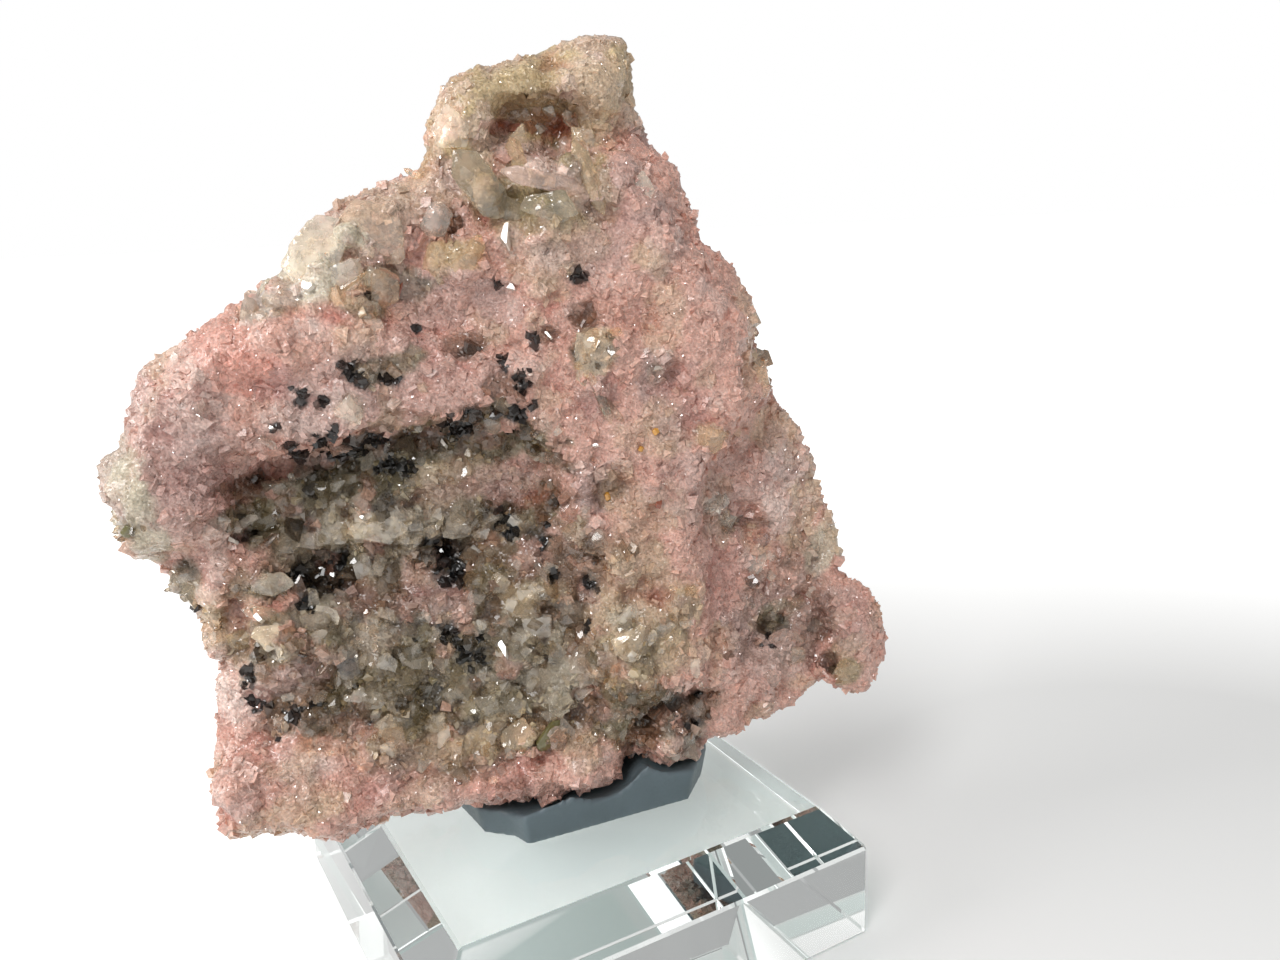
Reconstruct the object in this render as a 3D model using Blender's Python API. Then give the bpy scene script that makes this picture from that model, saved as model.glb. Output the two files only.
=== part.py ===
"""Rhodochrosite specimen held by mineral putty on a bevelled glass block.

Run it with: blender --background --python part.py
It makes three solids: rhodochrosite_rock, putty and glass_block. Metres, +Z up. The origin is the
middle of the block's underside, -Y faces whoever looks at the display face, and +X is to the right.
Shapes are laid out in millimetres and scaled to metres where each mesh is made.
"""

import math
import random

import bmesh
import bpy
from mathutils import Matrix, Vector, noise
from mathutils.bvhtree import BVHTree
from mathutils.geometry import delaunay_2d_cdt

MM = 0.001

# Glass block
GLASS_SIDE = 50.0
GLASS_HEIGHT = 15.5
GLASS_BEVEL_IN = 3.8
GLASS_BEVEL_DOWN = 4.5
GLASS_TURN = math.radians(29.6)
GLASS_ARRIS = 0.25

# Putty: corners of its side as (x, y, top height above the glass), from the left round the front
PUTTY_CORNERS = (
    (-11.5, -5.5, 4.4), (-8.0, -10.9, 3.9), (-4.6, -11.9, 3.9), (-3.0, -13.6, 4.3), (6.0, -9.7, 6.2),
    (9.5, -8.2, 6.4), (14.4, -6.1, 4.6), (16.2, -1.0, 4.4), (16.0, 5.2, 4.2), (11.5, 9.0, 4.6),
    (2.5, 10.6, 5.0), (-6.5, 8.0, 5.2), (-11.3, 1.5, 4.8),
)
PUTTY_FLARE = 1.05
PUTTY_HIGHEST = 7.0
PUTTY_GRID = 1.7
PUTTY_SIDE_STEP = 2.6
SOLID_GAP = 0.35

# Display face: a plane that runs back to the right, with a toe that leans forward at the bottom
FACE_Y = -8.0
FACE_SLOPE = 0.27
TOE_TOP = 42.0
TOE_HEIGHT = 22.0
TOE_FORWARD = 4.0
EDGE_ROUND = 2.0
EDGE_BAND = 3.2
FRONT_GRID = 1.95
BACK_GRID = 3.4
WALL_STEP = 3.1
OUTLINE_STEP = 2.1
GRAIN = 0.34
BACK_GRAIN = 0.62

# Outline of the rock as (x, z), clockwise from the left side of the top cap
ROCK_OUTLINE = (
    (-7.7, 89.8), (-5.1, 93.3), (-0.9, 95.2), (3.8, 96.1), (8.5, 96.6), (10.6, 96.0),
    (10.8, 93.0), (11.9, 89.8), (14.2, 85.5), (16.3, 81.1), (18.5, 77.5), (21.4, 74.1),
    (23.2, 71.0), (23.8, 66.8), (24.8, 62.4), (26.8, 59.4), (29.2, 54.6), (30.9, 50.2),
    (33.0, 45.6), (34.4, 39.8), (36.5, 36.6), (38.2, 34.4), (39.5, 30.0), (38.9, 27.6),
    (35.8, 24.7), (34.2, 24.0), (31.2, 25.4), (27.6, 23.4), (24.3, 22.9), (20.4, 22.0),
    (17.4, 21.4), (15.8, 20.6), (14.0, 20.3), (11.6, 20.8), (10.6, 22.0), (7.6, 22.3),
    (6.8, 20.6), (5.6, 19.4), (3.6, 19.1), (1.8, 19.6), (0.3, 19.0), (-2.8, 19.7),
    (-6.0, 19.5), (-9.0, 20.6), (-13.1, 20.7), (-22.0, 20.3),
    (-32.0, 21.9), (-33.6, 26.5), (-33.3, 31.0), (-32.9, 35.4),
    (-32.0, 38.1), (-33.0, 41.4), (-32.9, 43.5), (-35.5, 47.5), (-38.4, 52.5), (-39.4, 56.6),
    (-38.4, 61.3), (-36.3, 63.9), (-35.6, 66.2), (-32.8, 69.7), (-28.6, 72.6), (-25.4, 74.3),
    (-23.1, 76.1), (-20.2, 79.1), (-18.2, 81.6), (-15.8, 83.2), (-10.4, 84.5), (-9.1, 86.2),
)

# Broad shelves of the display face: (height, edge width, corners as (x, z)); below zero is sunk
SHELVES = (
    (2.8, 1.6, ((0.5, 80), (9, 86), (13, 83), (19, 76), (23, 68), (23, 62), (20.5, 58), (18, 54.5),
                (17.2, 49), (16.8, 45.5), (18, 41.5), (17.6, 37.5), (15.5, 31.5), (12, 29.5),
                (5, 31), (4, 38), (6.5, 43), (3.5, 49), (2.5, 56), (0, 61), (0, 66), (-2, 72))),
    (3.0, 1.7, ((-40, 66), (-30, 76), (-22, 77), (-14, 74), (-8, 69), (0, 66.5), (0.5, 62.5),
                (-6, 61.5), (-14, 61.5), (-19, 59.5), (-24, 61), (-28, 58.5), (-30, 53), (-37, 51),
                (-42, 58))),
    (-3.6, 3.0, ((-29, 60), (-28, 53), (-24, 45), (-17, 44), (-8, 44), (-2, 48), (2, 54), (-1, 60),
                 (-12, 61.5), (-22, 60.5))),
    (2.2, 2.0, ((-36, 18), (-36, 32), (-28, 30), (-20, 27), (-14, 25), (-4, 24), (0, 18))),
    (-1.9, 1.2, ((21, 58), (18, 55), (17, 49), (16.8, 45.5), (18.2, 41.3), (17.5, 37), (15.5, 31),
                 (14, 16), (45, 16), (45, 60), (26, 62))),
    (-1.9, 1.4, ((23, 60), (21.3, 52.8), (21, 48.7), (18.2, 45.3), (19.2, 41.2), (18.8, 39.3),
                 (21.8, 35.2), (21.8, 33.4), (21, 28.9), (21, 16), (45, 16), (45, 60))),
    (-1.6, 1.6, ((26, 56), (25, 50), (26.5, 46), (24.3, 40.3), (24.8, 38.5), (23.5, 35),
                 (24.5, 30), (25, 16), (45, 16), (45, 56))),
    (2.3, 2.2, ((30.5, 38), (31.5, 34), (32.3, 29.5), (33.5, 26), (36, 22), (42, 26), (42, 38),
                (34, 42))),
    (1.6, 1.8, ((-9, 94), (-3, 98), (12, 99), (13, 91), (7, 90), (3, 94), (-2, 92.5), (-4, 88),
                (-9, 86))),
    (1.3, 1.2, ((-24, 79), (-17, 84), (-9, 84), (-8.5, 79), (-12, 77), (-14, 74.5), (-22, 74.5))),
)

# Rounded masses of the display face: (x, z, radius, height)
LOBES = (
    (-31, 68.5, 5.5, 1.8), (-34.5, 58.5, 6.0, 1.5), (-22.0, 70.5, 3.6, 1.7), (-26.5, 72.5, 3.0, 1.5),
    (-16.0, 71.0, 3.2, 1.4), (-30.8, 48.0, 3.4, 1.6), (-30.5, 26.5, 4.0, 1.6), (-23.0, 24.0, 4.5, 1.2),
    (-23.5, 41.2, 5.0, 2.4), (-15.5, 28.0, 2.9, 1.6), (-16.5, 51.5, 3.6, 1.8), (-24.0, 55.0, 3.2, 1.3),
    (-9.0, 55.0, 3.0, 1.2), (-7.0, 45.5, 2.6, 1.7), (-1.5, 43.0, 2.8, 1.5), (-3.0, 37.5, 3.0, 1.4),
    (2.0, 34.0, 3.0, 1.5), (8.8, 37.0, 2.4, 1.5), (9.2, 32.6, 2.4, 1.2), (3.4, 23.3, 3.2, 2.4),
    (12.5, 24.5, 3.2, 1.6), (-3.0, 22.8, 2.8, 1.3), (10.5, 83.0, 3.2, 1.6), (13.5, 79.0, 3.2, 1.2),
    (20.8, 70.0, 3.0, 1.0), (15.5, 68.0, 4.0, 0.9), (18.7, 57.3, 2.2, 1.0), (14.5, 45.5, 3.2, 1.1),
    (13.0, 40.0, 2.6, 0.9), (7.5, 45.0, 3.6, 1.2), (25.0, 52.0, 4.0, 1.5), (28.5, 48.5, 3.2, 1.3),
    (19.6, 43.8, 2.2, 1.3), (20.4, 36.5, 2.6, 1.3), (19.0, 31.5, 3.2, 1.5), (22.5, 27.5, 3.0, 1.6),
    (26.0, 30.5, 2.2, 1.4), (27.5, 40.5, 3.0, 1.1), (36.0, 33.0, 3.4, 1.5), (37.2, 36.2, 1.5, 0.9),
    (34.2, 26.6, 2.2, 1.4), (-4.8, 76.8, 2.4, 1.6), (-18.5, 79.5, 3.2, 1.2), (-12.0, 80.5, 3.0, 1.0),
    (7.2, 67.0, 3.0, 0.9), (3.0, 79.8, 3.6, 1.2), (9.3, 93.0, 2.4, 0.9), (-5.5, 90.5, 2.4, 0.8),
)

# Pits and hollows of the display face: (x, z, half width, half height, depth)
PITS = (
    (2.2, 89.3, 3.6, 2.4, 3.2), (-0.6, 88.4, 1.4, 1.2, 2.0), (4.2, 87.0, 1.4, 1.8, 2.4),
    (-7.0, 79.4, 1.6, 1.6, 2.8), (6.0, 71.2, 1.3, 1.6, 1.6), (5.3, 74.8, 1.0, 1.0, 1.0),
    (-26.8, 57.8, 2.6, 2.0, 2.4), (-28.0, 52.0, 1.8, 0.9, 1.8), (-20.5, 47.2, 3.0, 2.4, 2.6),
    (-10.0, 47.0, 2.4, 2.6, 2.2), (-21.0, 36.8, 2.4, 2.0, 2.0), (-26.0, 66.0, 1.8, 1.4, 1.4),
    (-22.5, 66.5, 1.2, 1.4, 1.2), (13.2, 64.0, 1.6, 2.4, 1.2), (8.0, 52.4, 3.0, 1.8, 1.4),
    (11.8, 50.0, 1.2, 0.9, 0.9), (21.8, 47.4, 1.4, 1.3, 1.6), (24.2, 32.2, 1.5, 1.8, 2.2),
    (24.0, 52.4, 1.4, 0.8, 1.0), (31.2, 31.0, 1.1, 2.4, 1.8), (10.5, 26.0, 2.6, 1.0, 1.8),
    (9.0, 22.0, 2.2, 1.5, 2.6), (-9.3, 38.3, 1.6, 1.4, 1.4), (-26.5, 33.5, 2.2, 1.4, 1.2),
)

# The broken back: it stays in front of each of these planes, y = depth + x part * x + z part * z
BACK_PLANES = (
    (15.5, 0.02, -0.02), (25.0, 0.30, -0.16), (35.0, -0.10, -0.30), (24.0, -0.34, -0.04),
    (44.0, 0.10, -0.42), (8.0, 0.42, 0.12),
)
BACK_ROUGHNESS = 1.1
BACK_SHRINK = 3.2
BACK_SHRINK_VARIES = 2.6
THINNEST = 6.0
WALL_SWELL = 0.5
WALL_LUMPS = 2.2
UNDERSIDE_MOST = 0.8
MOST_SUNK = 0.9

# Quartz crystals on the display face: (x, z, lean right, lean up, width, length), along the face
QUARTZ = (
    (-3.4, 84.6, 0.5, -1.0, 2.0, 4.6), (0.8, 83.6, 0.9, 0.5, 2.2, 4.4),
    (5.6, 83.6, -0.2, 1.0, 2.0, 4.8),
    (-0.8, 79.2, 0.2, 0.3, 2.8, 2.2), (3.4, 81.0, -0.6, 0.3, 2.0, 3.4),
    (-7.4, 81.6, -0.8, 0.7, 2.4, 2.8),
    (-7.0, 77.4, 0.2, 0.4, 2.2, 2.4), (-4.6, 76.6, 0.5, 0.2, 2.6, 2.4),
    (-12.6, 75.8, 0.4, -0.8, 2.0, 3.2),
    (-17.6, 77.0, -0.6, -0.5, 1.8, 2.8), (-20.8, 75.4, -0.9, -0.1, 1.6, 2.6),
    (-15.2, 79.6, 0.7, 0.4, 1.8, 2.4),
    (-24.3, 61.2, -0.5, 0.2, 1.8, 2.2), (-17.2, 62.8, 0.2, -0.7, 2.2, 2.6),
    (-8.8, 59.2, 0.5, 0.5, 1.5, 2.2),
    (-12.0, 57.0, -0.4, 0.2, 1.8, 2.2), (-21.8, 45.4, 0.2, -0.6, 1.8, 2.4),
    (-17.2, 47.6, 0.4, -0.2, 2.4, 2.4),
    (-26.2, 47.0, -0.3, 0.3, 2.2, 2.2), (-27.3, 44.5, 0.9, -0.2, 1.4, 2.6),
    (-24.4, 42.0, 0.9, 0.3, 3.0, 4.0),
    (-20.9, 40.6, 0.7, -0.5, 2.6, 3.6), (-20.2, 37.6, 0.2, -0.9, 2.4, 3.4),
    (-16.5, 37.0, 0.5, 0.2, 2.4, 2.2),
    (-13.2, 38.4, 0.3, 0.4, 2.0, 2.2), (-27.0, 32.2, 0.2, -1.0, 1.2, 2.6),
    (-18.7, 33.2, -0.3, 0.4, 2.0, 2.2),
    (-16.6, 28.2, 0.4, -0.4, 3.6, 2.4), (-4.2, 34.6, 0.1, 0.2, 2.4, 2.2),
    (-7.2, 43.4, -0.2, 0.5, 2.4, 2.4),
    (-1.6, 40.0, 0.5, 0.4, 2.2, 2.6), (0.6, 36.0, -0.3, 0.5, 2.4, 2.4), (1.2, 31.0, 0.5, 0.1, 2.2, 2.2),
    (-3.2, 30.8, 0.1, -0.4, 2.2, 2.2), (-6.6, 26.6, -0.4, -0.3, 2.6, 2.4),
    (-2.6, 26.4, 0.1, 0.2, 2.8, 2.4),
    (0.3, 26.8, 0.6, 1.0, 1.8, 3.4), (8.6, 37.2, 0.2, 0.3, 2.6, 2.0), (9.2, 33.0, -0.2, 0.2, 2.8, 2.0),
    (15.6, 31.2, 0.5, -0.2, 1.8, 2.0), (18.5, 49.6, 0.3, 0.4, 2.0, 2.2),
    (12.8, 63.2, -0.1, 0.8, 1.6, 2.4),
    (6.6, 64.4, 0.7, -0.7, 1.8, 3.0), (9.2, 94.0, 0.3, 0.5, 2.6, 2.6), (5.6, 92.6, -0.3, 0.6, 2.2, 2.4),
    (-10.8, 43.0, 0.6, 0.1, 1.8, 2.2), (-31.6, 41.0, -0.8, 0.2, 2.2, 2.4),
    (-34.4, 47.6, -0.7, 0.4, 2.2, 2.4),
)

# Black sphalerite on the display face: (x, z, size)
SPHALERITE = (
    (-21.4, 64.8, 1.5), (-17.0, 66.2, 1.4), (-14.6, 66.8, 1.4), (-22.0, 60.2, 1.7), (-18.6, 59.6, 1.7),
    (-13.4, 58.2, 1.3), (-7.4, 61.8, 1.3), (-1.4, 63.2, 1.8), (-2.2, 61.2, 1.5), (-10.8, 48.6, 1.9),
    (-9.2, 45.6, 2.0), (-4.2, 47.2, 1.7), (0.2, 45.4, 1.6), (4.6, 39.6, 1.4), (-9.2, 38.4, 1.8),
    (-28.6, 37.0, 1.5), (-27.8, 33.8, 1.5), (-24.6, 33.2, 1.5), (-22.2, 34.4, 1.3), (-29.2, 51.8, 1.0),
    (13.0, 27.2, 1.5), (9.6, 29.0, 1.2),
)

# Ledges of the back, as SHELVES
BACK_SHELVES = (
    (2.4, 1.4, ((-42, 44), (-18, 50), (-12, 62), (-20, 78), (-42, 80))),
    (-2.2, 1.4, ((2, 16), (6, 34), (16, 44), (30, 46), (45, 40), (45, 16))),
    (1.8, 1.2, ((-10, 78), (4, 74), (16, 82), (14, 100), (-10, 100))),
    (1.6, 1.2, ((-30, 18), (-24, 30), (-10, 34), (-2, 26), (-4, 16))),
)

# Rounded masses and hollows of the back: (x, z, radius, height), (x, z, half width, half height, depth)
BACK_LOBES = (
    (-26, 62, 7.0, 3.2), (-20, 38, 8.0, 2.6), (-6, 74, 6.5, 2.4), (8, 60, 7.5, 2.8), (-8, 30, 6.0, 2.4),
    (12, 36, 7.0, 2.6), (24, 46, 5.5, 2.0), (30, 32, 5.0, 2.2), (4, 88, 4.5, 1.8), (-14, 54, 5.5, 2.2),
    (16, 72, 4.5, 1.6), (-29, 28, 5.0, 2.0), (0, 46, 4.5, 1.8), (20, 28, 4.5, 1.8),
)
BACK_PITS = (
    (-17, 64, 5.0, 3.4, 3.2), (1, 66, 3.4, 5.0, 2.6), (4, 38, 4.4, 3.4, 3.0), (-30, 46, 3.4, 4.4, 2.4),
    (-10, 42, 3.4, 2.8, 2.2), (20, 60, 2.8, 4.0, 2.0), (-4, 24, 4.0, 2.4, 1.6), (26, 38, 2.8, 2.4, 1.8),
)

# Quartz of the back and sides: (x, z, half width, half height, crystals) of each patch it grows in
BACK_PATCHES = (
    (-17, 63, 6.5, 4.5, 9), (3, 67, 4.0, 7.0, 8), (4, 38, 6.0, 4.5, 9), (-29, 45, 4.0, 5.5, 6),
    (20, 58, 3.5, 5.5, 5), (25, 36, 4.5, 3.5, 6),
)

GOLDEN_ANGLE = 2.4
TILT_OUT = 0.75
QUARTZ_WIDER = 1.15
SHOWN = 0.7
BURIED = 0.6
CORNER_CUT = 0.28
RIM_RAGGED = 0.45
FAR_OUT = 60.0

# Seeds of everything that varies at random
FRONT_SEED = 11
BACK_SEED = 12
JITTER_SEED = 21
CRYSTAL_SEED = 31
BACK_CRYSTAL_SEED = 41
PUTTY_SEED = 51


def clear_scene():
    for obj in list(bpy.data.objects):
        bpy.data.objects.remove(obj, do_unlink=True)


def material(name, color, roughness, transmission=0.0):
    """A Principled material with the piece's plain colour and finish."""
    mat = bpy.data.materials.new(name)
    mat.use_nodes = True
    shader = mat.node_tree.nodes["Principled BSDF"]
    shader.inputs["Base Color"].default_value = (*color, 1.0)
    shader.inputs["Roughness"].default_value = roughness
    shader.inputs["Metallic"].default_value = 0.0
    shader.inputs["Transmission Weight"].default_value = transmission
    return mat


def add_object(name, bm, mat):
    """Scales a mesh made in millimetres to metres and puts it in the scene."""
    bmesh.ops.scale(bm, vec=(MM, MM, MM), verts=bm.verts)
    mesh = bpy.data.meshes.new(name)
    bm.to_mesh(mesh)
    bm.free()
    mesh.materials.append(mat)
    obj = bpy.data.objects.new(name, mesh)
    bpy.context.scene.collection.objects.link(obj)
    return obj


def smooth(value):
    """Eases a number between 0 and 1."""
    t = min(1.0, max(0.0, value))
    return t * t * (3.0 - 2.0 * t)


def rough(x, y, z, scale, seed):
    """Soft noise between about -1 and 1, with features `scale` millimetres across."""
    place = Vector((x / scale + seed, y / scale - seed, z / scale + 2.0 * seed))
    return noise.fractal(place, 0.9, 2.0, 3)


def edge_distance(x, z, corners):
    """Distance from a point to a closed outline, above zero inside it."""
    best = 1e9
    inside = False
    count = len(corners)
    for i in range(count):
        ax, az = corners[i]
        bx, bz = corners[(i + 1) % count]
        dx, dz = bx - ax, bz - az
        along = ((x - ax) * dx + (z - az) * dz) / (dx * dx + dz * dz)
        along = min(1.0, max(0.0, along))
        best = min(best, math.hypot(x - ax - along * dx, z - az - along * dz))
        if (az > z) != (bz > z) and x < ax + (z - az) / dz * dx:
            inside = not inside
    return best if inside else -best


def dome(x, z, cx, cz, half_width, half_height):
    """1 in the middle of an oval and 0 from its edge out, with a round top."""
    reach = ((x - cx) / half_width) ** 2 + ((z - cz) / half_height) ** 2
    return math.sqrt(1.0 - reach) if reach < 1.0 else 0.0


def face_relief(x, z):
    """How far the display face stands proud of its plane."""
    wander = 0.9 * rough(x, 0, z, 5.0, 3.1)
    relief = 0.0
    for height, width, corners in SHELVES:
        relief += height * smooth(0.5 + (edge_distance(x, z, corners) + wander) / width)
    relief += max([height * dome(x, z, cx, cz, r, r) for cx, cz, r, height in LOBES] + [0.0])
    relief -= sum(depth * dome(x, z, cx, cz, a, b) ** 0.7 for cx, cz, a, b, depth in PITS)
    relief += 0.7 * rough(x, 0, z, 4.5, 7.7) + 0.5 * rough(x, 0, z, 1.9, 1.3)
    return relief


def toe(z):
    """The lean of the lower face towards the front."""
    return TOE_FORWARD * min(1.0, max(0.0, (TOE_TOP - z) / TOE_HEIGHT))


def front_y(x, z, inset):
    """The display face, rounded over within EDGE_BAND of the outline."""
    plane = FACE_Y + FACE_SLOPE * x - toe(z)
    over = 1.0 - smooth(inset / EDGE_BAND)
    relief = face_relief(x, z)
    kept = 1.0 - (0.8 if relief > 0.0 else 0.4) * over
    return plane + EDGE_ROUND * over - relief * kept


def back_y(x, z):
    """The broken back, kept behind the display face."""
    broken = min(depth + sx * x + sz * z for depth, sx, sz in BACK_PLANES)
    wander = 1.4 * rough(x, 80, z, 6.0, 1.9)
    for height, width, corners in BACK_SHELVES:
        broken += height * smooth(0.5 + (edge_distance(x, z, corners) + wander) / width)
    broken += max([height * dome(x, z, cx, cz, r, r) for cx, cz, r, height in BACK_LOBES] + [0.0])
    broken -= sum(depth * dome(x, z, cx, cz, a, b) ** 0.7 for cx, cz, a, b, depth in BACK_PITS)
    broken += BACK_ROUGHNESS * rough(x, 40, z, 9.0, 5.5) + 0.8 * rough(x, 40, z, 3.4, 2.2)
    return max(broken, front_y(x, z, EDGE_BAND) + THINNEST)


def resample(corners, step):
    """Points about `step` apart along a closed outline."""
    points = []
    count = len(corners)
    for i in range(count):
        a, b = Vector(corners[i]), Vector(corners[(i + 1) % count])
        parts = max(1, round((b - a).length / step))
        points += [a.lerp(b, k / parts) for k in range(parts)]
    return points


def ragged(points, amount):
    """An outline with a broken, slightly uneven edge."""
    result = []
    for p in points:
        shift = Vector((rough(p.x, 0, p.y, 2.6, 9.1), rough(p.x, 0, p.y, 2.6, 4.4)))
        result.append(p + shift * amount)
    return result


def fill_points(corners, step, clearance, seed):
    """A jittered triangular grid of points inside an outline, clear of its edge."""
    rng = random.Random(seed)
    xs = [p.x for p in corners]
    zs = [p.y for p in corners]
    flat = [(p.x, p.y) for p in corners]
    row_step = step * math.sqrt(3.0) / 2.0
    points = []
    for row in range(int((max(zs) - min(zs)) / row_step) + 1):
        offset = step / 2.0 if row % 2 else 0.0
        for column in range(int((max(xs) - min(xs)) / step) + 2):
            x = min(xs) + offset + column * step + rng.uniform(-0.24, 0.24) * step
            z = min(zs) + row * row_step + rng.uniform(-0.24, 0.24) * step
            if edge_distance(x, z, flat) > clearance:
                points.append(Vector((x, z)))
    return points


def triangulate(rim, inner):
    """Triangles over an outline and the points inside it, counter-clockwise in (x, z)."""
    edges = [(i, (i + 1) % len(rim)) for i in range(len(rim))]
    verts, _, faces, _, _, _ = delaunay_2d_cdt(rim + inner, edges, [], 1, 1e-5)
    if len(verts) != len(rim) + len(inner):
        raise ValueError("the outline crosses itself")
    result = []
    for a, b, c in faces:
        turn = (verts[b] - verts[a]).cross(verts[c] - verts[a])
        result.append((a, b, c) if turn > 0 else (a, c, b))
    return result


def outward_normals(points):
    """Unit normals of a clockwise outline, pointing out of it."""
    normals = []
    count = len(points)
    for i in range(count):
        run = points[(i + 2) % count] - points[i - 2]
        normals.append(Vector((-run.y, run.x)).normalized())
    return [n.normalized() for n in relaxed(normals, 4)]


def relaxed(points, passes):
    """A closed outline with its sharp turns eased."""
    for _ in range(passes):
        points = [(points[i - 1] + 2.0 * p + points[(i + 1) % len(points)]) / 4.0
                  for i, p in enumerate(points)]
    return points


def wall_point(front, back, normal, t):
    """A point of the rock's side, t of the way from the front rim to the back rim."""
    spot = front.lerp(back, t)
    swell = WALL_SWELL * math.sin(math.pi * t)
    lumps = WALL_LUMPS * rough(spot.x, spot.y, spot.z, 7.0, 6.3) + rough(spot.x, spot.y, spot.z, 3.0, 8.8)
    swell += math.sin(math.pi * min(0.5, 1.2 * t)) * (lumps - 0.4)
    swell = max(swell, -MOST_SUNK)
    if normal.y < -0.5:
        swell = min(swell, UNDERSIDE_MOST)
    return spot + Vector((normal.x, 0.0, normal.y)) * swell


def rock_body():
    """The whole rock but its separate crystals: display face, side and broken back."""
    bm = bmesh.new()
    front_rim = ragged(resample(ROCK_OUTLINE, OUTLINE_STEP), RIM_RAGGED)
    normals = outward_normals(front_rim)
    back_rim = []
    for p, n in zip(front_rim, normals):
        shrink = BACK_SHRINK + BACK_SHRINK_VARIES * rough(p.x, 60, p.y, 14.0, 3.3)
        back_rim.append(p - n * max(0.6, shrink))
    back_rim = relaxed(back_rim, 6)
    flat_rim = [(p.x, p.y) for p in front_rim]

    def row_of(points, height):
        return [bm.verts.new((p.x, height(p), p.y)) for p in points]

    front_inner = fill_points(front_rim, FRONT_GRID, 0.45 * FRONT_GRID, FRONT_SEED)
    front = row_of(front_rim, lambda p: front_y(p.x, p.y, 0.0))
    front += row_of(front_inner, lambda p: front_y(p.x, p.y, edge_distance(p.x, p.y, flat_rim)))
    back_inner = fill_points(back_rim, BACK_GRID, 0.4 * BACK_GRID, BACK_SEED)
    back = row_of(back_rim + back_inner, lambda p: back_y(p.x, p.y))

    count = len(front_rim)
    gaps = [back[i].co.y - front[i].co.y for i in range(count)]
    rings = max(2, round(sum(gaps) / count / WALL_STEP))
    rows = [front[:count]]
    for k in range(1, rings):
        rows.append([bm.verts.new(wall_point(front[i].co, back[i].co, normals[i], k / rings))
                     for i in range(count)])
    rows.append(back[:count])

    for a, b, c in triangulate(front_rim, front_inner):
        bm.faces.new((front[a], front[b], front[c]))
    for a, b, c in triangulate(back_rim, back_inner):
        bm.faces.new((back[a], back[c], back[b]))
    for near, far in zip(rows, rows[1:]):
        for i in range(count):
            j = (i + 1) % count
            bm.faces.new((near[i], near[j], far[j]))
            bm.faces.new((near[i], far[j], far[i]))
    bmesh.ops.recalc_face_normals(bm, faces=bm.faces)
    grain_jitter(bm)
    return bm


def grain_jitter(bm):
    """Moves each vertex a little, more at the back, so that the surface breaks into facets."""
    rng = random.Random(JITTER_SEED)
    for vert in bm.verts:
        low = smooth((vert.co.z - 19.0) / 4.0)
        behind = smooth((vert.co.y - FACE_Y - FACE_SLOPE * vert.co.x - 9.0) / 6.0)
        reach = (GRAIN + (BACK_GRAIN - GRAIN) * behind) * (0.25 + 0.75 * low)
        vert.co += Vector([rng.uniform(-reach, reach) for _ in range(3)])


def add_crystal(bm, base, direction, width, length, spin):
    """A six-sided quartz prism with a pointed tip, standing on base along direction."""
    turn = direction.to_track_quat("Z", "Y").to_matrix().to_4x4()
    place = Matrix.Translation(base) @ turn @ Matrix.Rotation(spin, 4, "Z")
    radius = width / 2.0
    shoulder = length - 0.75 * radius
    rings = []
    for height in (-BURIED * width, shoulder):
        rings.append([bm.verts.new(place @ Vector((radius * math.cos(a), radius * math.sin(a), height)))
                      for a in (math.tau * k / 6 for k in range(6))])
    tip = bm.verts.new(place @ Vector((0.12 * radius, 0.0, length)))
    foot, top = rings
    bm.faces.new(list(reversed(foot)))
    for k in range(6):
        j = (k + 1) % 6
        bm.faces.new((foot[k], foot[j], top[j], top[k]))
        bm.faces.new((top[k], top[j], tip))


def add_chunk(bm, base, direction, size, rng):
    """An angular sphalerite crystal: a tetrahedron with its corners cut off."""
    turn = direction.to_track_quat("Z", "Y").to_matrix().to_4x4()
    place = Matrix.Translation(base) @ turn @ Matrix.Rotation(rng.uniform(0, math.tau), 4, "Z")
    corners = ((1, 1, 1), (1, -1, -1), (-1, 1, -1), (-1, -1, 1))
    cloud = []
    for i, a in enumerate(corners):
        for j, b in enumerate(corners):
            if i != j:
                cloud.append(Vector(a).lerp(Vector(b), CORNER_CUT) * size * rng.uniform(0.78, 0.92))
    verts = [bm.verts.new(place @ p) for p in cloud]
    hull = bmesh.ops.convex_hull(bm, input=verts)
    unused = [v for v in hull["geom_interior"] if isinstance(v, bmesh.types.BMVert)]
    bmesh.ops.delete(bm, geom=unused, context="VERTS")


def on_surface(tree, start, direction):
    """Where a straight line meets the rock, and the surface's normal there."""
    spot, normal, _, _ = tree.ray_cast(start, direction, 200.0)
    return spot, normal


def display_crystals(tree):
    """The larger crystals of the display face, as one mesh per crystal."""
    pieces = []
    rng = random.Random(CRYSTAL_SEED)
    for x, z, right, up, width, length in QUARTZ:
        spot, _ = on_surface(tree, Vector((x, -FAR_OUT, z)), Vector((0, 1, 0)))
        direction = Vector((right, -TILT_OUT - FACE_SLOPE * right, up)).normalized()
        bm = bmesh.new()
        add_crystal(bm, spot, direction, QUARTZ_WIDER * width, SHOWN * length, rng.uniform(0, 1.0))
        pieces.append(bm)
    for x, z, size in SPHALERITE:
        spot, _ = on_surface(tree, Vector((x, -FAR_OUT, z)), Vector((0, 1, 0)))
        bm = bmesh.new()
        add_chunk(bm, spot, Vector((0, -1, 0)), size, rng)
        pieces.append(bm)
    return pieces


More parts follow.
